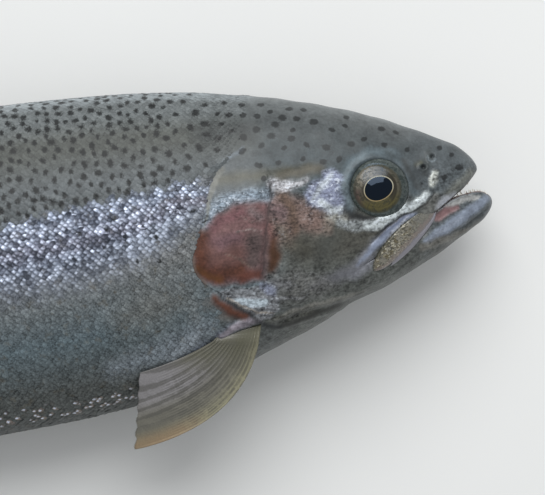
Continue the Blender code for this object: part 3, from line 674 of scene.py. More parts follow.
def paint(s, h):
    """(colour, shine) of the markings, with their painted shade and highlights, at places on either
    flank.
    """
    colour, shine = striped(s, h, ground(s, h), 0.12 + 0.2 * smooth((6 - h) / 6))
    s, h = waver(s, h, 0.5)
    for shade, outline, radius, soft, share, gleam in PAINT:
        if radius is None:
            here = share * patch(s, h, outline, soft)
        else:
            here = share * stroke(s, h, outline, radius, soft)
        colour = cover(colour, shade, here)
        shine = blend(shine, gleam, here)
    return colour, shine


# ---- spots ----
HEAD_SPOTS = ((95, 37), (91, 33), (88, 37), (82, 35), (75, 34), (72, 31), (77, 30), (82, 31), (87, 32),
              (65, 31), (60, 30), (68, 28), (63, 27), (57, 25), (51, 21), (45, 25), (46, 22), (71, 26),
              (65, 23), (66, 20), (73, 22), (78, 25), (87, 26), (90, 29), (96, 30), (96, 26),
              (92, 24), (83, 23), (77, 19), (84, 18), (93, 20), (69, 17), (61, 17), (54, 15), (45, 15),
              (63, 12), (56, 10), (50, 10), (72, 12), (79, 12), (78, 7), (40, 16), (33, 13), (25, 10),
              (13, 9), (9, 6), (7, 1), (13, -2), (33, 19), (28, 17))


SPOT_TRIES = 60000
SPOT_CELL = 9               # wider than the widest gap between spots
NO_SPOT = 3.0               # this many radii off the nearest spot there is no trace of it


def scatter_spots():
    """Centres (s, h, w), radii, lean and stretch of the dark spots, closer and smaller behind."""
    pick = np.random.default_rng(SEED)
    cells = {}

    def cell_of(spot):
        return tuple((spot // SPOT_CELL).astype(int))

    s = pick.uniform(98, 470, SPOT_TRIES)
    h, w = upper_section(s, pick.uniform(0, 0.85, SPOT_TRIES))
    side = pick.choice((-1, 1), SPOT_TRIES)
    tall = height_share(s, h)
    near_head = smooth((112 - s) / 14)
    apart = blend(3.2, 5.0, near_head) * blend(1.0, 0.9, smooth((s - 260) / 120))
    likely = smooth((h - STRIPE_TOP(s) - 0.5) / 3) + 0.006 * (tall > 0.42)
    chosen = np.flatnonzero(pick.uniform(0, 1, SPOT_TRIES) < likely)
    radii = blend(1.35, 1.55, near_head) * pick.uniform(0.85, 1.2, SPOT_TRIES)
    radii = radii * np.where(tall < 0.6, 0.7, 1.0)
    right = np.array(HEAD_SPOTS, float)
    left = right + pick.normal(0, 1.6, right.shape)
    kept = [np.array((*at, flank(*at))) for at in right]
    kept += [np.array((*at, -flank(*at))) for at in left]
    sizes = list(1.5 * pick.uniform(0.85, 1.15, len(kept)))
    for spot in kept:
        cells.setdefault(cell_of(spot), []).append(spot)
    spots = np.stack((s, h, side * w), axis=-1)
    for i in chosen:
        spot = spots[i]
        cell = cell_of(spot)
        around = [other for ds in (-1, 0, 1) for dh in (-1, 0, 1) for dw in (-1, 0, 1)
                  for other in cells.get((cell[0] + ds, cell[1] + dh, cell[2] + dw), ())]
        if any(math.dist(spot, other) < apart[i] for other in around):
            continue
        cells.setdefault(cell, []).append(spot)
        kept.append(spot)
        sizes.append(radii[i])
    on_head = np.arange(len(kept)) < 2 * len(HEAD_SPOTS)
    lean = pick.normal(0, 0.6, len(kept)) + math.pi / 2 * on_head
    return np.array(kept), np.array(sizes), lean, pick.uniform(1.0, 1.6, len(kept))


SPOTS = scatter_spots()


def spot_field(s, h, w):
    """Distance to the nearest spot's middle, in radii of that spot, up to NO_SPOT."""
    centres, sizes, lean, stretch = SPOTS
    tree = kdtree.KDTree(len(centres))
    for i, centre in enumerate(centres):
        tree.insert(centre, i)
    tree.balance()
    places = np.stack((s, h, w), axis=-1)
    found = np.array([tree.find(at)[1] for at in places])
    off = places - centres[found]
    across = off[:, 0] * np.cos(lean[found]) + off[:, 1] * np.sin(lean[found])
    squared = (off ** 2).sum(axis=1) + (stretch[found] ** 2 - 1) * across ** 2
    return np.minimum(np.sqrt(squared) / sizes[found], NO_SPOT)


# ---- meshes ----
def keep(shape, name):
    """A mesh from a bmesh, which is freed."""
    mesh = bpy.data.meshes.new(name)
    shape.to_mesh(mesh)
    shape.free()
    return mesh


def note(mesh, name, values):
    """Store a number or a colour for each point of a mesh."""
    values = np.asarray(values, float)
    if values.ndim == 2:
        layer = mesh.attributes.new(name, "FLOAT_COLOR", "POINT")
        opaque = np.concatenate((values, np.ones((len(values), 1))), axis=1)
        layer.data.foreach_set("color", opaque.ravel())
    else:
        layer = mesh.attributes.new(name, "FLOAT", "POINT")
        layer.data.foreach_set("value", values.ravel())


def mark(mesh):
    """Store the painted markings, with their painted shade and highlights, and the spots on a mesh,
    by its places on the fish.
    """
    s, h, w = places_of(mesh)
    colour, shine = paint(s, h)
    note(mesh, "paint", colour)
    note(mesh, "shine", shine)
    note(mesh, "spot", spot_field(s, h, w))


def settle(mesh):
    """Flatten what would sink into the floor, as soft flesh does where it lies."""
    at = points_of(mesh)
    level = at[:, 2]
    at[:, 2] = np.where(level < FLATTENED, blend(FLATTENED, level, FLATTENED_TO), level)
    mesh.vertices.foreach_set("co", at.ravel())


def put(name, data):
    """A new object in the scene."""
    made = bpy.data.objects.new(name, data)
    bpy.context.scene.collection.objects.link(made)
    return made


def show(mesh, finish, nodes=(), crease=None):
    """A piece of the trout from a mesh: it rides on the root body and may replace CAD nodes."""
    settle(mesh)
    mesh.shade_smooth()
    if crease:
        mesh.set_sharp_from_angle(angle=math.radians(crease))
    mesh.materials.append(finish)
    piece = put(mesh.name, mesh)
    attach(piece, "root")
    if nodes:
        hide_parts(*nodes)
    return piece


def sheet_in(shape, across, down, spot):
    """Add a grid to a bmesh; spot(x, y) gives (s, h, w) of its points, x and y from 0 to 1."""
    made = bmesh.ops.create_grid(shape, x_segments=across, y_segments=down, size=0.5)["verts"]
    at = np.array([vert.co for vert in made])
    where = place(*spot(at[:, 0] + 0.5, at[:, 1] + 0.5))
    for vert, co in zip(made, where):
        vert.co = co
    return made


def plate(name, across, down, spot):
    """A thin closed plate; spot(x, y, depth) gives its outer face, at depth 0, and its inner one."""
    shape = bmesh.new()
    for depth in (0.0, PLATE):
        sheet_in(shape, across, down, lambda x, y, deep=depth: spot(x, y, deep))
    bmesh.ops.bridge_loops(shape, edges=[edge for edge in shape.edges if edge.is_boundary])
    bmesh.ops.recalc_face_normals(shape, faces=shape.faces)
    return keep(shape, name)


# ---- finishes ----
class Wire:
    """A value in a finish. Python's arithmetic on it adds Math nodes."""

    def __init__(self, finish, socket):
        self.finish = finish
        self.socket = socket

    def math(self, operation, first, second=0.0):
        return self.finish.add("ShaderNodeMath", {"operation": operation}, {0: first, 1: second})

    def __add__(self, other):
        return self.math("ADD", self, other)

    def __sub__(self, other):
        return self.math("SUBTRACT", self, other)

    def __rsub__(self, other):
        return self.math("SUBTRACT", other, self)

    def __mul__(self, other):
        return self.math("MULTIPLY", self, other)

    __radd__ = __add__
    __rmul__ = __mul__

    def sine(self):
        return self.math("SINE", self)

    def step(self, low, high):
        """0 below low and 1 above high, or the other way round when high is below low."""
        return self.finish.add("ShaderNodeMapRange", {"interpolation_type": "SMOOTHSTEP"},
                               {"Value": self, "From Min": low, "From Max": high})


class Finish:
    """A material being made: add() makes its nodes and wear() feeds its shader."""

    def __init__(self, name, uniform):
        self.material = bpy.data.materials.new(name)
        self.material.use_nodes = True
        self.tree = self.material.node_tree
        self.shader = self.tree.nodes["Principled BSDF"]
        for socket, value in uniform.items():
            self.shader.inputs[socket].default_value = value

    def add(self, kind, settings, values, output=0):
        """A node of a kind, with its settings, and values or wires in its sockets."""
        node = self.tree.nodes.new(kind)
        for name, value in settings.items():
            setattr(node, name, value)
        for socket, value in values.items():
            if isinstance(value, Wire):
                self.tree.links.new(value.socket, node.inputs[socket])
            else:
                node.inputs[socket].default_value = value
        return Wire(self, node.outputs[output])

    def noted(self, name, output="Fac"):
        """A number stored on the mesh, or with output "Color" a colour."""
        return self.add("ShaderNodeAttribute", {"attribute_name": name}, {}, output)

    def place(self):
        return self.add("ShaderNodeTexCoord", {}, {}, "Object")

    def noise(self, size, detail=2.0, distortion=0.0, stretch=None):
        """Soft noise whose lumps are about size millimetres, or longer where stretch is < 1."""
        return self.add("ShaderNodeTexNoise", {}, {
            "Vector": self.drawn(stretch), "Scale": 1 / (size * MM), "Detail": detail,
            "Distortion": distortion})

    def cells(self, size, stretch=None):
        """Cells about size millimetres across, each with a number of its own."""
        return self.add("ShaderNodeTexVoronoi", {}, {
            "Vector": self.drawn(stretch), "Scale": 1 / (size * MM)}, "Color")

    def drawn(self, stretch):
        """The place, with its axes multiplied by stretch if there is one."""
        if not stretch:
            return self.place()
        return self.add("ShaderNodeVectorMath", {"operation": "MULTIPLY"},
                        {0: self.place(), 1: stretch})

    def mix(self, one, other, share):
        """A colour between two."""
        one, other = [value if isinstance(value, Wire) else (*value, 1) for value in (one, other)]
        return self.add("ShaderNodeMix", {"data_type": "RGBA"}, {0: share, 6: one, 7: other}, 2)

    def layered(self, colour, *layers):
        """A colour with others laid over it in turn, each given as (colour, share)."""
        for other, share in layers:
            colour = self.mix(colour, other, share)
        return colour

    def dim(self, colour, amount):
        """A colour made darker or brighter."""
        return self.add("ShaderNodeVectorMath", {"operation": "SCALE"}, {0: colour, 3: amount})

    def bump(self, height, depth, under=None):
        """The normal of a surface with height, of 0 to 1, standing depth millimetres out."""
        values = {"Height": height, "Distance": depth * MM, "Strength": 1.0}
        if under:
            values["Normal"] = under
        return self.add("ShaderNodeBump", {}, values)

    def wear(self, **values):
        """Feed the shader's sockets; an underscore stands for the space in a socket's name."""
        for socket, wire in values.items():
            self.tree.links.new(wire.socket, self.shader.inputs[socket.replace("_", " ")])
        return self.material


def skin_finish():
    """Wet bare skin: painted markings with painted shade and highlights among them, fine mottling,
    silver flecks whose brightness is a painted glint, and dark spots.
    """
    skin = Finish("wet bare skin", {"Coat Weight": 0.1, "Coat Roughness": 0.15,
                                   "Specular IOR Level": 0.25})
    mottle = skin.noise(2.4, 4.0, 0.5)
    grain = skin.noise(0.95, 3.0)
    streaks = skin.noise(1.2, 3.0, 0.8, (0.4, 1.2, 1.0))
    glitter = skin.cells(0.9, (0.5, 1.1, 1.0))
    broad = skin.noise(7.0, 3.0, 0.6)
    shine = skin.noted("shine")
    lively = shine.step(0.05, 0.5) * (1.3 - 0.7 * shine)
    tone = (1.0 + (0.4 + 1.5 * lively) * (mottle - 0.5) + (0.6 + 1.8 * lively) * (grain - 0.5)
            + 2.2 * lively * (streaks - 0.5) + 1.1 * (broad - 0.5))
    # silver flecks made near white in the colour: painted glints
    silver_fleck_glints = glitter.step(0.5, 0.95) * grain.step(0.42, 0.62) * shine.step(0.3, 0.95)
    dull = glitter.step(0.45, 0.1) * streaks.step(0.55, 0.35) * shine.step(0.2, 0.9)
    spot = (skin.noted("spot") + 0.5 * (grain - 0.5) + 0.7 * (mottle - 0.5)).step(1.2, 0.7)
    flesh = skin.dim(skin.mix(MOUTH_PINK, GUM, mottle.step(0.45, 0.7)), 0.8 + 0.4 * grain)
    colour = skin.layered(skin.dim(skin.noted("paint", "Color"), tone),
                          (tint(216, 224, 234), silver_fleck_glints * 0.6), (tint(52, 55, 60), dull * 0.5),
                          (SPOT_GREY, spot * 0.78), (flesh, skin.noted("inside")))
    rough = 0.46 - 0.12 * shine + 0.2 * (grain - 0.5)
    height = 0.4 * mottle + 0.4 * grain + lively * (0.3 * streaks + 0.15 * glitter)
    return skin.wear(Base_Color=colour, Roughness=rough, Metallic=0.1 + 0.25 * shine,
                     Normal=skin.bump(height, 0.2))


def scale_finish():
    """Scales: each has a tone of its own, a darker rim and a fine grain."""
    scale = Finish("silver scales", {"Coat Weight": 0.06, "Coat Roughness": 0.15,
                                       "Specular IOR Level": 0.2})
    shine = scale.noted("shine")
    tone = scale.noted("tone")
    rim = scale.noted("rim")
    grain = scale.noise(0.6, 3.0)
    patchy = scale.noise(3.0, 4.0, 0.5, (1.4, 0.8, 1.0))
    mottle = scale.noise(3.2, 3.0)
    band = shine.step(0.3, 0.95)
    low = shine.step(0.12, 0.32)
    bright = (1.0 + (0.4 + 0.1 * low) * (tone - 0.5) + (0.4 + 0.8 * band) * (patchy - 0.5)
              + (1.0 + 1.3 * low) * (grain - 0.5))
    dark_rim = 0.16 + 0.16 * low - 0.06 * band
    # lit and glint are painted glints in the silver band, and the darker gaps between them are painted
    # shade
    lit = (rim + 1.0 * (grain - 0.5)).step(0.7, 0.25)
    glint = (1.1 * tone + 1.9 * (patchy - 0.5)).step(0.3, 1.0) * lit * band
    shade_between_glints = 0.7 * rim + 1.4 * (grain - 0.5) + 1.5 * (0.5 - patchy) + 0.5 * (0.5 - tone)
    spot = (scale.noted("spot") + 1.1 * (grain - 0.5) + 0.9 * (patchy - 0.5)).step(1.4, 0.6)
    colour = scale.layered(
        scale.dim(scale.noted("paint", "Color"), bright * (1.08 - dark_rim * rim)),
        (tint(94, 86, 70), mottle.step(0.56, 0.72) * low * 0.3),
        (tint(212, 222, 240), glint * 0.9),
        (tint(44, 48, 58), shade_between_glints.step(0.3, 0.9) * band * 0.85), (SPOT_GREY, spot * 0.92))
    rough = 0.46 - 0.12 * shine + 0.2 * (grain - 0.5)
    return scale.wear(Base_Color=colour, Roughness=rough, Metallic=0.1 + 0.2 * shine,
                      Normal=scale.bump(grain, 0.05))


# ---- the skin ----
def stations(*stretches):
    """Places along the body: each stretch gives its end and the step up to it."""
    at = [stretches[0][0]]
    for end, step in stretches[1:]:
        count = max(1, round((end - at[-1]) / step))
        at += list(np.linspace(at[-1], end, count + 1)[1:])
    return at


def from_tip(tip, radius, *stretches):
    """Stations from a rounded tip to the body's end, closest where the shape is finest."""
    turns = np.linspace(0, math.pi / 2, 15)[:-1]
    rounded = [tip + radius * (1 - math.cos(turn)) for turn in turns]
    jaw = stations((tip + radius, 0), *stretches)
    behind = stations((MOUTH_CORNER, 0), (110, 0.72), (215, 2.6), (BODY_END, 4.2))
    return np.array(rounded + jaw + behind[1:])


def build_skin():
    """One closed skin over head, jaws and body, with the lining of the mouth."""
    upper = from_tip(0.0, SNOUT_ROUNDING, (13, 0.6), (23, 0.42), (MOUTH_CORNER, 0.55))
    lower = from_tip(JAW_TIP, CHIN_ROUNDING, (MOUTH_CORNER, 0.6))
    shape = bmesh.new()
    inside = shape.verts.layers.float.new("inside")

    def station(along_body, y):
        return along_body[np.round(y * (len(along_body) - 1)).astype(int)]

    def wall(section, along_body, across, side, crowd=0.0):
        """One side of the body; crowd brings its points closer towards the middle."""
        def spot(x, y):
            s = station(along_body, y)
            t = x - crowd * np.sin(math.pi * x) / math.pi
            h, w = section(s, t)
            edge = 1 - x if section is upper_section else x
            at_lip = smooth(1 - edge / 0.03) * (1 - smooth((s - MOUTH_CORNER) / 4))
            return skin_place(s, h, side * w, at_lip)

        sheet_in(shape, across, len(along_body) - 1, spot)

    def lining(section, along_mouth, across):
        """Palate or floor of the mouth, from the right lip to the left one."""
        def spot(x, y):
            s = station(along_mouth, y)
            side = np.where(x < 0.5, 1, -1)
            inward = 1 - np.abs(2 * x - 1)
            h, w = section(s, inward)
            return s, h, side * w

        made = sheet_in(shape, across, len(along_mouth) - 1, spot)
        for i, vert in enumerate(made):
            x = (i % (across + 1)) / across
            vert[inside] = float(smooth((1 - abs(2 * x - 1)) / 0.1))

    for section, along_body, right, left, crowd in ((upper_section, upper, 112, 52, -0.35),
                                                    (lower_section, lower, 52, 26, 0.0)):
        wall(section, along_body, right, 1, crowd)
        wall(section, along_body, left, -1)
    lining(palate, upper[upper <= MOUTH_CORNER], 44)
    lining(mouth_floor, lower[lower <= MOUTH_CORNER], 44)
    bmesh.ops.remove_doubles(shape, verts=shape.verts, dist=0.012 * MM)
    bmesh.ops.holes_fill(shape, edges=shape.edges)
    bmesh.ops.recalc_face_normals(shape, faces=shape.faces)
    mesh = keep(shape, "skin")
    mark(mesh)
    nodes = ("head", "lower_jaw", "trunk_front", "trunk_rear", "tail_stem")
    show(mesh, skin_finish(), nodes)


# ---- gill covers ----
def build_gill_cover(side, word, finish):
    """A bony flap that springs from the groove behind the cheek and ends in a soft fringe."""
    def skin(x, y, depth):
        front, rear = COVER_FRONT(y), COVER_REAR(y)
        s, h = blend(front, rear, x)
        s = s + 0.25 * np.sin(26 * y) * x ** 6                 # the fringe is uneven
        ends = smooth(y / 0.2) * smooth((1 - y) / 0.12)
        lift = blend(-0.45, 0.15, smooth(x / 0.05)) * ends - 0.5 * (1 - ends)
        lift += 0.2 * smooth((x - 0.05) / 0.2) * ends
        lift += 0.8 * np.sin(math.pi * x) ** 1.2 * np.sin(math.pi * y) ** 0.8
        lift -= 0.12 * smooth((x - 0.82) / 0.18) * ends
        lift -= 0.3 * smooth((-29.8 - 0.12 * (s - 90) - h) / 0.7) * smooth((x - 0.2) / 0.2)
        thin = blend(1.0, 0.28, smooth((x - 0.6) / 0.35))
        s, h, w = raised(s, h, flank(s, h), lift - depth * thin)
        return s, h, side * w

    mesh = plate("gill_cover_" + word, 64, 110, skin)
    mark(mesh)
    note(mesh, "inside", np.zeros(len(mesh.vertices)))
    show(mesh, finish, ("gill_cover_" + word,))


# ---- scales ----
COAT_MAP_FROM = 70.0        # where the unrolled skin starts
HALF_GIRTH = 110.0          # no side is longer than this, up or down, round the section
SCALE_ON_MAP = 0.0013       # half the width of a scale's patch on the map


def scale_size(s):
    """Scales grow smaller towards the tail and just behind the head."""
    return blend(1.0, 0.78, smooth((s - 240) / 200)) * blend(0.86, 1.0, smooth((s - 84) / 40))


def arc_table():
    """For stations along the body: the angle round the section at arc lengths off the side."""
    at = np.arange(COAT_MAP_FROM, BODY_END, 2.0)
    turn = np.linspace(math.pi / 2, -math.pi / 2, 2 * 180 + 1)
    h, w = body_ring(at[:, None], turn)
    steps = np.hypot(np.diff(h, axis=1), np.diff(w, axis=1))
    arc = np.concatenate((np.zeros((len(at), 1)), np.cumsum(steps, axis=1)), axis=1)
    arc = arc[:, 180:181] - arc                                # 0 half way round, at the side
    reach = np.arange(-HALF_GIRTH, HALF_GIRTH, 0.5)
    angles = np.array([np.interp(reach, row[::-1], turn[::-1]) for row in arc])
    return at, reach, angles, arc[:, 0], arc[:, -1]


def body_ring(s, angle):
    """(h, w) on the right at an angle round the section; 0 is the widest place."""
    level = WIDEST(s)
    power = FULLNESS(s)
    rise = swell(np.sin(angle), power)
    depth = np.where(rise > 0, BACK(s) - level, level - BELLY(s))
    return level + depth * rise, HALF_WIDTH(s) * swell(np.cos(angle), power)


def vane():
    """A scale as points (x back, y across, z out) with rims, and its faces."""
    points, rims = [], []
    for x, half, lift, bend in ((-0.66, 0.34, 0.0, -0.04), (-0.36, 0.92, 0.5, 0.0),
                                (0.04, 1.08, 1.0, 0.0), (0.4, 0.9, 0.9, 0.03),
                                (0.62, 0.42, 0.45, 0.08)):
        points += [(x, -half, 0.0), (x + bend, 0.0, lift), (x, half, 0.0)]
        rims += [1.0, min(1.0, 0.1 + 1.6 * abs(x - 0.36)), 1.0]
    faces = []
    for i in range(0, 12, 3):
        faces += [(i, i + 3, i + 4), (i, i + 4, i + 1), (i + 1, i + 4, i + 5), (i + 1, i + 5, i + 2)]
        faces += [(i, i + 2, i + 5), (i, i + 5, i + 3)]
    faces += [(0, 1, 2), (12, 14, 13)]
    return np.array(points), np.array(faces), np.array(rims)


def lay_scales(side):
    """One side's scales, in rows: s, h and arc, middles, and directions back, across and out.

    The last value is the source of random numbers, for the draws that follow.
    """
    at, reach, angles, top, bottom = arc_table()
    pick = np.random.default_rng(SEED + side)
    fine = np.linspace(SCALES_FROM, BODY_END - 2, 2000)
    count = np.concatenate(([0], np.cumsum(np.diff(fine) / (SCALE_LENGTH * scale_size(fine[1:])))))
    rows = np.arange(-90, 91)
    numbers = np.arange(0, int(count[-1]))
    row, number = [grid.ravel() for grid in np.meshgrid(rows, numbers)]
    s = np.interp(number + 0.5 * (row % 2), count, fine)
    s += pick.normal(0, 0.2, len(s))
    arc = row * SCALE_ROW * scale_size(s) + pick.normal(0, 0.12, len(s))
    inside = (arc < np.interp(s, at, top)) & (arc > np.interp(s, at, bottom))
    s, arc = s[inside], arc[inside]

    def round_at(s, arc):
        """(h, w) at an arc length off the side, read between the stations of the table."""
        i = np.clip((s - at[0]) / (at[1] - at[0]), 0, len(at) - 1.001)
        j = np.clip((arc - reach[0]) / (reach[1] - reach[0]), 0, len(reach) - 1.001)
        i0, j0 = i.astype(int), j.astype(int)
        ahead, beside = i - i0, j - j0
        return body_ring(s, blend(blend(angles[i0, j0], angles[i0 + 1, j0], ahead),
                                  blend(angles[i0, j0 + 1], angles[i0 + 1, j0 + 1], ahead), beside))

    def on_skin(s, arc):
        h, w = round_at(s, arc)
        return place(*skin_place(s, h, side * w))

    h, _ = round_at(s, arc)
    soft_parts = stroke(s, h, FIN_FOLD, 2.3, 0.3) + stroke(s, h, GILL_SKIN, 2.2, 0.3)
    bare = (s < SHOULDER(h) - 0.5) | (soft_parts > 0.5)
    s, arc, h = s[~bare], arc[~bare], h[~bare]
    here = on_skin(s, arc)
    back = on_skin(s + 1, arc) - here
    across = on_skin(s, arc + 0.5) - here
    back /= np.linalg.norm(back, axis=1)[:, None]
    out = np.cross(across, back) * side
    out /= np.linalg.norm(out, axis=1)[:, None]
    across = np.cross(back, out) * side
    return s, h, arc, here, np.stack((back, across, out), axis=1), pick


def build_scales(finish):
    """Overlapping scales over the body, in pieces from the shoulder to the tail."""
    points, faces, rims = vane()
    lengths = ((SCALES_FROM, 138, "shoulder"), (138, 200, "front"), (200, 270, "middle"),
               (270, 350, "rear"), (350, BODY_END, "stem"))
    for side, word in SIDES:
        s, h, arc, here, ways, pick = lay_scales(side)
        nape = smooth((h - 12) / 8)
        size = scale_size(s) * blend(blend(0.8, 0.35, nape), 1.0,
                                     smooth((s - SHOULDER(h)) / blend(5, 22, nape)))
        size = size * pick.uniform(0.94, 1.06, len(s))
        colour, shine = paint(np.maximum(s, SHOULDER(h) + 3.5), h)
        tone = pick.uniform(0, 1, len(s))
        pearls = stroke(s, h, PEARLS, (1.5, 2.6, 2, 1.2, 0.6), 1.2)
        pearls = pearls * (pick.uniform(0, 1, len(s)) < PEARLY)
        colour = cover(colour, PEARL, 0.7 * pearls)
        shine = blend(shine, 1.0, pearls)
        tone = blend(tone, 1.0, pearls)
        proud = blend(1.0, 0.5, smooth((h - 8) / 10))
        tilt = (pick.normal(0.11, 0.035, len(s)) + 0.03 * shine) * proud
        roll = pick.normal(0, 0.06, len(s)) * (0.6 + 1.6 * shine) * proud
        yaw = pick.normal(0, 0.05, len(s))
        x = points[:, 0] * (SCALE_LENGTH * size)[:, None]
        y = points[:, 1] * (SCALE_ROW * size)[:, None]
        z = SCALE_CROWN * points[:, 2] * (size * proud)[:, None]
        z = z + (x + 0.5 * SCALE_LENGTH) * tilt[:, None] + y * roll[:, None]
        x, y = x - y * yaw[:, None], y + x * yaw[:, None]
        at = here[:, None, :] + MM * np.stack((x, y, z), axis=-1) @ ways
        for start, end, where in lengths:
            mine = (s >= start) & (s < end)
            mesh = joined_mesh("scales_" + where + "_" + word, at[mine], faces, side)
            for name, values in (("paint", colour), ("shine", shine), ("tone", tone)):
                note(mesh, name, np.repeat(values[mine], len(points), axis=0))
            note(mesh, "rim", np.tile(rims, mine.sum()))
            note(mesh, "spot", spot_field(*places_of(mesh)))
            bake_map(mesh, s[mine], arc[mine], side, points, faces)
            show(mesh, finish, (), crease=62)


def joined_mesh(name, at, faces, side):
    """One mesh of many like shapes: at has a row of points for each shape."""
    shapes, times = at.shape[:2]
    corners = (faces + np.arange(shapes)[:, None, None] * times).reshape(-1, 3)
    if side < 0:
        corners = corners[:, ::-1]
    mesh = bpy.data.meshes.new(name)
    mesh.vertices.add(shapes * times)
    mesh.vertices.foreach_set("co", at.ravel())
    mesh.loops.add(corners.size)
    mesh.loops.foreach_set("vertex_index", corners.ravel())
    mesh.polygons.add(len(corners))
    mesh.polygons.foreach_set("loop_start", np.arange(0, corners.size, 3))
    mesh.update(calc_edges=True)
    return mesh


def bake_map(mesh, s, arc, side, points, faces):
    """The map OFBake: each scale is a small patch at its middle's place on the unrolled skin."""
    middle = np.stack((0.02 + 0.96 * (s - COAT_MAP_FROM) / (BODY_END - COAT_MAP_FROM),
                       0.5 + side * 0.25 + arc / (4 * HALF_GIRTH)), axis=-1)
    at = middle[:, None, :] + points[:, :2] * SCALE_ON_MAP
    order = faces.ravel() if side > 0 else faces[:, ::-1].ravel()
    layer = mesh.uv_layers.new(name="OFBake")
    layer.data.foreach_set("uv", at[:, order, :].ravel())


# ---- eyes ----
IRIS_RADIUS = 8.2
IRIS_AHEAD = -0.7           # the iris and the pupil sit a little behind the eyeball's middle
PUPIL_AHEAD = -0.8
PUPIL_FRONT = 5.4           # the pupil is drawn out forwards
PUPIL_REAR = 4.7
PUPIL_HALF_HEIGHT = 4.15


def eye_finish():
    """A wet eye: black pupil with a thin pale ring, tan, olive and gold iris, grey-blue rim."""
    eye = Finish("wet eye", {"Roughness": 0.06, "Specular IOR Level": 0.3,
                             "Specular Tint": (0.5, 0.7, 1.0, 1), "Coat Weight": 0.06,
                             "Coat Roughness": 0.03})
    out = eye.noted("ring")
    pupil = eye.noted("pupil")
    low = eye.noted("low")
    ahead = eye.noted("ahead")
    fleck = eye.noise(1.3, 4.0, 0.8)
    fine = eye.noise(0.3, 2.0)
    beside = (ahead * ahead).step(0.08, 0.3) * pupil.step(1.7, 0.5)
    iris = eye.layered(
        tint(78, 74, 62), (tint(80, 74, 42), low.step(0.0, 0.75)),
        (tint(122, 116, 103), low.step(0.1, -0.6) * ahead.step(0.35, -0.3)),
        (tint(78, 58, 54), ahead.step(-0.6, -1.0) * low.step(-0.25, 0.1) * 0.7),
        (tint(46, 42, 28), ahead.step(0.35, 0.62) * out.step(7.4, 6.6) * 0.85),
        (tint(48, 48, 36), fleck.step(0.5, 0.64) * 0.7), (tint(44, 38, 28), beside * 0.7))
    arcs = (out * 5.2 + 2.5 * fleck).sine()
    iris = eye.dim(iris, 0.8 + 0.4 * fine + 0.1 * arcs)
    ring = eye.mix(tint(166, 162, 142), tint(146, 128, 88), low.step(-0.2, 0.6))
    rim = eye.dim(eye.mix(tint(78, 84, 80), tint(54, 60, 56), fleck.step(0.4, 0.6)),
                  (0.85 + 0.3 * fine) * (1.0 - 0.18 * ahead.step(0.4, 1.0)))
    colour = eye.layered(
        iris, (tint(54, 54, 42), out.step(7.6, 8.6) * 0.6),
        (ring, pupil.step(0.5, 0.32) * pupil.step(0.0, 0.14)),
        (tint(2, 6, 14), pupil.step(0.14, 0.0)),
        (rim, (out + 0.7 * (fleck - 0.5)).step(8.3, 9.1)))
    return eye.wear(Base_Color=colour, Normal=eye.bump(fine * pupil.step(0.1, 0.4), 0.04))


def build_eye(side, word, finish):
    """A lens-shaped eyeball whose pupil bulges a little, turned forwards and upwards."""
    shape = bmesh.new()
    bmesh.ops.create_uvsphere(shape, u_segments=96, v_segments=64, radius=1)
    bmesh.ops.scale(shape, vec=(EYE_RADIUS, EYE_RADIUS, EYE_HALF_THICKNESS), verts=shape.verts)
    mesh = keep(shape, "eye_" + word)
    at = points_of(mesh)
    x, y = at[:, 0], at[:, 1]
    off_iris = np.hypot(x - IRIS_AHEAD, y)
    long = np.where(x > PUPIL_AHEAD, PUPIL_FRONT, PUPIL_REAR)
    pointed = np.hypot((x - PUPIL_AHEAD) / long, (y - 0.1 * x) / PUPIL_HALF_HEIGHT)
    front = at[:, 2] * side > 0
    at[:, 2] += side * front * (0.35 * smooth((1.05 - pointed) / 0.5)
                                - 0.12 * hill(off_iris - 8.8, 0.5))
    note(mesh, "ring", off_iris)
    note(mesh, "pupil", (pointed - 1) * PUPIL_REAR)
    note(mesh, "low", -y / IRIS_RADIUS)
    note(mesh, "ahead", (x - IRIS_AHEAD) / IRIS_RADIUS)
    turn = (Matrix.Rotation(side * math.radians(EYE_FORWARDS), 3, "Y")
            @ Matrix.Rotation(-side * math.radians(EYE_UPWARDS), 3, "X"))
    middle = place(*EYE, side * (flank(*EYE) - EYE_SUNK))
    at = at @ np.array(turn).T * MM + middle
    mesh.vertices.foreach_set("co", at.ravel())
    show(mesh, finish, ("eye_" + word,))


# ---- upper jaw bones ----
def maxilla_finish():
    """Speckled olive and gold skin over bone, with a lavender lower edge."""
    bone = Finish("speckled jaw bone", {"Coat Weight": 0.4, "Coat Roughness": 0.12})
    low = bone.noted("low")
    back = bone.noted("back")
    mottle = bone.noise(1.6, 4.0, 0.8)
    grain = bone.cells(0.5, (0.8, 1.2, 1.0))
    flakes = grain.step(0.66, 0.95) * mottle.step(0.35, 0.5)
    front = (back + 0.25 * (mottle - 0.5)).step(0.5, 0.22)
    fold = (low + 0.2 * (mottle - 0.5)).step(0.72, 0.82)
    colour = bone.layered(
        tint(128, 125, 114), (tint(100, 92, 68), mottle.step(0.4, 0.62)),
        (tint(40, 40, 36), grain.step(0.5, 0.15) * 0.75),
        (tint(212, 208, 190), flakes * (0.25 + 0.6 * back.step(0.2, 0.7))),
        (bone.dim(tint(108, 108, 103), 0.75 + 0.5 * grain), front * 0.8),
        (tint(134, 122, 120), (low + 0.5 * (mottle - 0.5)).step(0.5, 0.7) * 0.55),
        (tint(58, 58, 46), (low + 0.3 * (grain - 0.5)).step(0.2, 0.04) * 0.8),
        (tint(138, 137, 146), fold * 0.9))
    return bone.wear(Base_Color=colour, Roughness=0.5 - 0.2 * grain, Metallic=0.1 + 0.3 * grain,
                     Normal=bone.bump(0.5 * mottle + 0.5 * grain, 0.18))


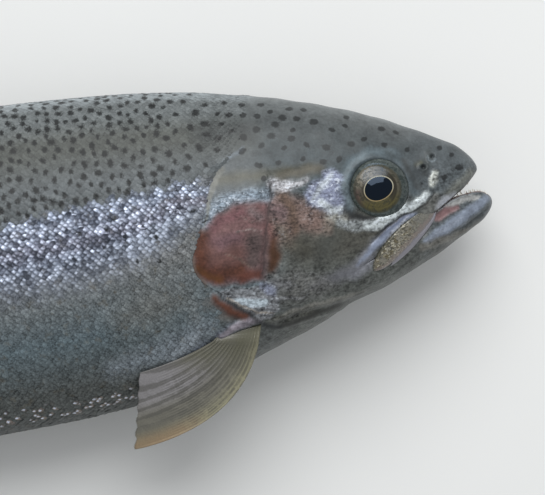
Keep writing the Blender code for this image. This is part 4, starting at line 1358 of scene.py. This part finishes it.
def build_maxilla(side, word, finish):
    """The blade of the upper jaw, rounded behind, with a raised rear plate and a soft fold."""
    def skin(x, y, depth):
        top, low = MAXILLA_TOP(y), MAXILLA_LOW(y)
        rounded = np.sqrt(np.maximum(0, 1 - np.clip((y - 0.86) / 0.14, 0, 1) ** 2))
        s, h = blend(blend(top, low, 0.5), blend(top, low, x), 0.25 + 0.75 * rounded)
        crown = np.sin(math.pi * x) ** 0.5
        lift = -0.5 + 0.95 * crown - 1.5 * (1 - smooth(y / 0.42)) ** 1.3
        lift += 0.35 * smooth((0.42 - np.abs(x - 0.38)) / 0.12) * smooth((y - 0.3) / 0.15)
        lift -= 0.3 * hill(x - 0.8, 0.04)
        s, h, w = raised(s, h, flank(s, h), lift - depth)
        return s, h, side * w

    mesh = plate("maxilla_" + word, 40, 84, skin)
    s, h, _ = places_of(mesh)
    gap_top, back = near(along(MAXILLA_TOP), s, h)
    gap_low, _ = near(along(MAXILLA_LOW), s, h)
    note(mesh, "low", gap_top / (gap_top + gap_low + 1e-6))
    note(mesh, "back", back)
    show(mesh, finish, ("maxilla_" + word,))


# ---- mouth ----
TONGUE_TIP = 5
TONGUE_LENGTH = 35
TEETH = 17                  # on each side of the lower jaw
TOOTH_PITCH = 1.55
TOOTH_RADIUS = 0.38
TOOTH_POINT = 0.07
TOOTH_ROOT = 0.6            # this much of a tooth is sunk in the gum


def mouth_finish(name, deep, pale):
    """Wet flesh or gum between two colours."""
    flesh = Finish(name, {"Coat Weight": 0.6, "Coat Roughness": 0.1})
    mottle = flesh.noise(1.4, 3.0)
    fine = flesh.noise(0.4, 2.0)
    colour = flesh.dim(flesh.mix(deep, pale, mottle.step(0.35, 0.65)), 0.85 + 0.3 * fine)
    return flesh.wear(Base_Color=colour, Roughness=0.3 + 0.2 * fine,
                      Normal=flesh.bump(0.6 * mottle + 0.4 * fine, 0.2))


def build_tongue():
    """A blunt tongue with a groove along its middle, in the trough of the jaw."""
    def skin(x, y):
        s = TONGUE_TIP + TONGUE_LENGTH * y
        tip = rounding(s - TONGUE_TIP, 7) * rounding(TONGUE_TIP + TONGUE_LENGTH + 0.5 - s, 7)
        angle = math.tau * x
        groove = 0.35 * hill(np.cos(angle), 0.2) * (np.sin(angle) > 0)
        h = JAW_TOP(s) - JAW_TROUGH(s) + 1.9 + (1.6 * np.sin(angle) - groove) * tip
        return s, h, 0.38 * JAW_WIDTH(s) * tip * np.cos(angle)

    shape = bmesh.new()
    sheet_in(shape, 40, 50, skin)
    bmesh.ops.remove_doubles(shape, verts=shape.verts, dist=0.01 * MM)
    bmesh.ops.recalc_face_normals(shape, faces=shape.faces)
    mesh = keep(shape, "tongue")
    show(mesh, mouth_finish("wet tongue", tint(126, 92, 90), tint(160, 140, 132)), ("tongue",))


def build_teeth():
    """Small teeth along the gums of the lower jaw and, fewer, of the upper lip."""
    pick = np.random.default_rng(SEED + 3)
    shape = bmesh.new()
    for side, _ in SIDES:
        for i in range(TEETH):
            s = -1.6 + TOOTH_PITCH * i + pick.uniform(-0.25, 0.25)
            for gum, inward, up in ((mouth_floor, 0.13, 1), (palate, 0.10, -1)):
                if up < 0 and (i < 3 or i % 2):
                    continue
                h, w = gum(s, inward)
                tall = pick.uniform(0.75, 1.2) * (0.8 if up < 0 else 1)
                made = bmesh.ops.create_cone(
                    shape, cap_ends=True, segments=8, radius1=TOOTH_RADIUS * MM,
                    radius2=TOOTH_POINT * MM, depth=(tall + TOOTH_ROOT) * MM)["verts"]
                upright = Matrix.Rotation(-up * math.pi / 2, 3, "X")
                tip_back = Matrix.Rotation(up * 0.25, 3, "Z")
                bmesh.ops.rotate(shape, matrix=tip_back @ upright, verts=made)
                middle = place(s, h + up * (tall - TOOTH_ROOT) / 2, side * w)
                bmesh.ops.translate(shape, vec=middle, verts=made)
    mesh = keep(shape, "teeth")
    show(mesh, mouth_finish("teeth", tint(190, 186, 172), tint(214, 212, 204)), (),
         crease=40)


# ---- fins ----
STEPS_FOR_A_RAY = 8
STEPS_OUT = 70
RAY_JOINTS = 46             # along a ray
FLESHY_ROOT = 3.4
FIN_SUNK = 1.5              # the roots of the middle fins are sunk in the body
TAIL_ROOT = 462


def fin_finish(name, lead, middle, trail, streak, root, tip):
    """Fin skin over rays: lead, middle and trail across it, a streak colour between the rays
    and in dusky patches, and others at the root and at the tip of the leading edge."""
    fin = Finish(name, {"Coat Weight": 0.25, "Coat Roughness": 0.2})
    ray = fin.noted("ray")
    out = fin.noted("out")
    over = fin.noted("over")
    mottle = fin.noise(3.0, 4.0, 0.5)
    fine = fin.noise(0.5, 2.0)
    between = (1 - ray) * mottle.step(0.3, 0.62) * over.step(1.1, 0.6)
    dusk = (fin.noted("dusk") + 0.8 * (mottle - 0.5)).step(0.45, 0.85) * out.step(0.2, 0.45)
    spot = (fin.noted("spot") + 0.4 * (fine - 0.5)).step(1.15, 0.8)
    colour = fin.layered(
        lead, (middle, over.step(0.02, 0.3)), (trail, over.step(0.35, 0.65)),
        (streak, between * 0.7), (streak, dusk * over.step(0.15, 0.4) * 0.6),
        (tip, out.step(0.55, 0.85) * over.step(0.24, 0.04) * 0.7),
        (root, (out - 0.45 * over).step(0.36, -0.1) * 0.85), (SPOT_GREY, spot * 0.85))
    colour = fin.dim(colour, 0.62 + 0.5 * fine + 0.3 * mottle)
    joints = (fin.noted("joint") * math.tau).sine() * ray
    return fin.wear(Base_Color=colour, Roughness=0.42 + 0.16 * (fine - 0.5),
                    Normal=fin.bump(0.3 * joints + 0.7 * fine, 0.07))


def bezier(points, t):
    """A quadratic Bezier curve's s and h."""
    root, bend, tip = (np.array(p, float)[:, None] for p in points)
    return root * (1 - t) ** 2 + 2 * bend * t * (1 - t) + tip * t * t


def build_fin(name, lead, trail, rays, droop, finish, nodes, side=0, notch=0.0, outline=None,
              laid=False, thick=(1.5, 0.45), spots=0, fleshy=False):
    """A fin whose rays fan from its root and fork towards its edge.

    lead and trail are (root, bend, tip) in (s, h); droop(u, v) moves it in w, at u along a
    ray and v across the fin. A paired fin has a side, 1 or -1, on which its root stands. The
    notch is the depth of its fork as a share of its rays. outline(s) is the line that its root
    follows. A laid fin lies on the floor. thick is its thickness at the root and at the edge,
    spots is how many dark spots it has, and a fleshy fin has a swollen root.
    """
    across = rays * STEPS_FOR_A_RAY

    def fork(u, v):
        """1 on a ray and 0 between rays."""
        off = np.abs((v * rays) % 1 - 0.5)
        off = np.abs(off - 0.24 * smooth((u - 0.3) / 0.35))
        off = np.abs(off - 0.115 * smooth((u - 0.68) / 0.2))
        return hill(off, blend(0.2, 0.085, smooth((u - 0.25) / 0.5)))

    def spot(v, u):
        ragged = 0.004 * np.sin(37 * v) + 0.008 * (fork(u, v) - 0.5)
        reach = u * (1 - notch * np.sin(math.pi * v) ** 1.3 + ragged * u ** 6)
        s, h = bezier(lead, reach) * (1 - v) + bezier(trail, reach) * v
        root_s, root_h = bezier(lead, 0 * v) * (1 - v) + bezier(trail, 0 * v) * v
        w = droop(u, v) + 0.35 * np.sin(9 * v + 5 * u) * u
        if outline:
            h = h + (outline(root_s) - root_h) * (1 - u)
        if side:
            w = w + side * (flank(root_s, root_h) + 1.2 * smooth(u / 0.1) - 0.6)
        if laid:
            w = blend(w, 0.7 - LIE(s), smooth(1.6 * u))
        return s, h, w

    shape = bmesh.new()
    sheet_in(shape, across, STEPS_OUT, spot)
    mesh = keep(shape, name)
    index = np.arange(len(mesh.vertices))
    v = (index % (across + 1)) / across
    u = (index // (across + 1)) / STEPS_OUT
    ray = fork(u, v)
    s, h, w = places_of(mesh)
    note(mesh, "ray", ray)
    note(mesh, "out", u)
    note(mesh, "over", v)
    note(mesh, "joint", u * RAY_JOINTS)
    note(mesh, "dusk", 0.5 + 0.5 * np.sin(math.tau * (6.3 * v + 0.4 * np.sin(7 * v + 3 * u))))
    pick = np.random.default_rng(SEED + rays)
    middle_u, middle_v = pick.uniform(0.08, 0.95, spots), pick.uniform(0.02, 0.98, spots)
    at_s, at_h, _ = spot(middle_v, middle_u)
    field = np.full(len(s), NO_SPOT)
    for spot_s, spot_h, size in zip(at_s, at_h, pick.uniform(0.8, 1.3, spots)):
        field = np.minimum(field, np.hypot(s - spot_s, h - spot_h) / size)
    note(mesh, "spot", field)
    root, edge = thick
    wall = blend(root, edge, smooth(u * 1.4) ** 0.6) * blend(0.6, 1.0, ray)
    wall = np.maximum(wall, blend(root * 1.3, edge * 1.5, u) * smooth((0.05 - v) / 0.05))
    if fleshy:
        swollen = np.sin(math.pi * np.clip(v, 0.04, 0.96)) ** 0.5
        wall = np.maximum(wall, FLESHY_ROOT * (1 - smooth(u / 0.22)) * swollen)
    wall = wall * blend(1.0, 0.5, smooth((u - 0.96) / 0.04))
    thickest = wall.max()
    fin = show(mesh, finish, nodes)
    thickness = fin.vertex_groups.new(name="thickness")
    for i, share in enumerate(wall / thickest):
        thickness.add([i], share, "REPLACE")
    solid = fin.modifiers.new("solid", "SOLIDIFY")
    solid.thickness = thickest * MM
    solid.offset = 0
    solid.vertex_group = "thickness"


def build_fins():
    """All eight fins: three in the middle line, the tail fin, and two pairs."""
    def above(s):
        return BACK(s) - FIN_SUNK

    def below(s):
        return BELLY(s) + FIN_SUNK

    olive = tint(122, 120, 100)
    dorsal = fin_finish("dorsal fin", olive, tint(112, 114, 102), tint(116, 118, 110),
                        tint(84, 88, 80), BACK_GREY, olive)
    build_fin("dorsal_fin", ((216, above(216)), (229, 80), (253, 96)),
              ((275, above(275)), (284, 53), (297, 60)), 12, lambda u, v: -6 * u * u, dorsal,
              ("dorsal_fin",), notch=0.05, outline=above, spots=90)
    build_fin("adipose_fin", ((376, above(376)), (389, 37), (400, 37)),
              ((387, above(387)), (393, 25), (401, 32)), 9, lambda u, v: -u * u,
              fin_finish("adipose fin", olive, tint(108, 110, 96), tint(96, 98, 88),
                         tint(90, 94, 84), BACK_GREY, olive),
              ("adipose_fin",), outline=above, thick=(2.6, 1.3), spots=5)
    pale = fin_finish("pale fin", tint(168, 160, 140), tint(122, 116, 100), tint(124, 120, 114),
                      tint(92, 90, 78), FLANK_LOW, tint(160, 146, 124))
    build_fin("anal_fin", ((341, below(341)), (349, -78), (370, -92)),
              ((386, below(386)), (394, -45), (404, -52)), 11, lambda u, v: -3 * u * u, pale,
              ("anal_fin",), notch=0.06, outline=below)
    tail = fin_finish("tail fin", tint(104, 106, 96), tint(110, 110, 98), tint(104, 106, 96),
                      tint(80, 82, 74), FLANK, tint(112, 106, 92))
    build_fin("tail_fin", ((TAIL_ROOT, 12.5), (488, 25), (525, 44)),
              ((TAIL_ROOT, -34.5), (488, -47), (525, -66)), 20, lambda u, v: 0.0, tail,
              ("tail_fin_upper", "tail_fin_lower"), notch=0.30, spots=120)
    pectoral = fin_finish("pectoral fin", tint(132, 129, 106), tint(106, 104, 94),
                          tint(126, 124, 126), tint(66, 65, 60), tint(76, 75, 58),
                          tint(136, 112, 84))
    build_fin("pectoral_fin_right", ((86.8, -44.5), (94.5, -79), (138.5, -82.8)),
              ((102.2, -46.8), (115.3, -53), (132.4, -55.3)), 14,
              lambda u, v: -1.5 * u - (7 - 6 * v) * u * u, pectoral, ("pectoral_fin_right",),
              side=1, thick=(2.0, 0.5), fleshy=True)
    build_fin("pectoral_fin_left", ((88, -46.5), (103, -62), (147, -65)),
              ((101.5, -47.5), (122, -50), (150, -52)), 14, lambda u, v: 0.0, pectoral,
              ("pectoral_fin_left",), side=-1, laid=True, thick=(2.0, 0.5), fleshy=True)
    build_fin("pelvic_fin_right", ((257, -64), (272, -80), (299, -87)),
              ((270, -63.4), (286, -67), (303, -71)), 10, lambda u, v: -3 * u - 4 * u * u, pale,
              ("pelvic_fin_right",), side=1, fleshy=True)
    build_fin("pelvic_fin_left", ((257, -64), (272, -78), (298, -84)),
              ((270, -63.4), (286, -66.5), (302, -69)), 10, lambda u, v: -4 * u - 2 * u * u, pale,
              ("pelvic_fin_left",), side=-1, fleshy=True)


# ---- stage, light and camera ----
FLOOR_HALF = 6              # metres
LAMP_POWER = 36
LAMP_SIZE = 1.8
LAMP_AT = (0.35, 1.3, 1.5)
LAMP_TARGET = (0.1, 0, 0.03)
SKY_COLOUR = (0.97, 0.985, 1.0, 1)
SKY_STRENGTH = 0.55
CAMERA_OVER = (78.5, -17.8)  # s and h under the middle of the view
CAMERA_LEVEL = 1128.0       # millimetres over the floor
CAMERA_SLANT = 8.5          # degrees by which the head is higher
LENS = 198


def floor_finish():
    """Pale matt card with a faint unevenness."""
    card = Finish("pale card", {"Roughness": 0.8})
    uneven = card.noise(120, 3.0)
    return card.wear(Base_Color=card.mix(tint(222, 223, 222), tint(228, 229, 228), uneven))


def build_stage():
    """A wide pale floor, which isn't part of the trout."""
    shape = bmesh.new()
    bmesh.ops.create_grid(shape, x_segments=8, y_segments=8, size=FLOOR_HALF)
    mesh = keep(shape, "floor")
    mesh.materials.append(floor_finish())
    put("floor", mesh)


def light_it():
    """One round soft box over the back, unseen itself, and a pale surrounding."""
    light = bpy.data.lights.new("soft box", "AREA")
    light.shape = "DISK"
    light.size = LAMP_SIZE
    light.energy = LAMP_POWER
    lamp = put("soft box", light)
    lamp.location = LAMP_AT
    towards = Vector(LAMP_TARGET) - Vector(LAMP_AT)
    lamp.rotation_euler = towards.to_track_quat("-Z", "Y").to_euler()
    lamp.visible_camera = False
    world = bpy.data.worlds.new("studio")
    world.use_nodes = True
    backdrop = world.node_tree.nodes["Background"]
    backdrop.inputs["Color"].default_value = SKY_COLOUR
    backdrop.inputs["Strength"].default_value = SKY_STRENGTH
    scene = bpy.context.scene
    scene.world = world
    scene.view_settings.view_transform = "Standard"


def build_camera():
    """Straight over the fore part of the fish, turned so that the head is a little raised."""
    camera = bpy.data.cameras.new("camera")
    camera.lens = LENS
    made = put("camera", camera)
    x, y, _ = place(*CAMERA_OVER, 0.0)
    made.location = (x, y, CAMERA_LEVEL * MM)
    made.rotation_euler = (0, 0, math.radians(-CAMERA_SLANT))
    bpy.context.scene.camera = made


def build():
    """The whole trout, its stage and its light."""
    build_camera()
    light_it()
    build_stage()
    build_skin()
    bare = bpy.data.materials["wet bare skin"]
    speckled = maxilla_finish()
    wet = eye_finish()
    for side, word in SIDES:
        build_gill_cover(side, word, bare)
        build_maxilla(side, word, speckled)
        build_eye(side, word, wet)
    build_tongue()
    build_teeth()
    build_fins()
    build_scales(scale_finish())


build()
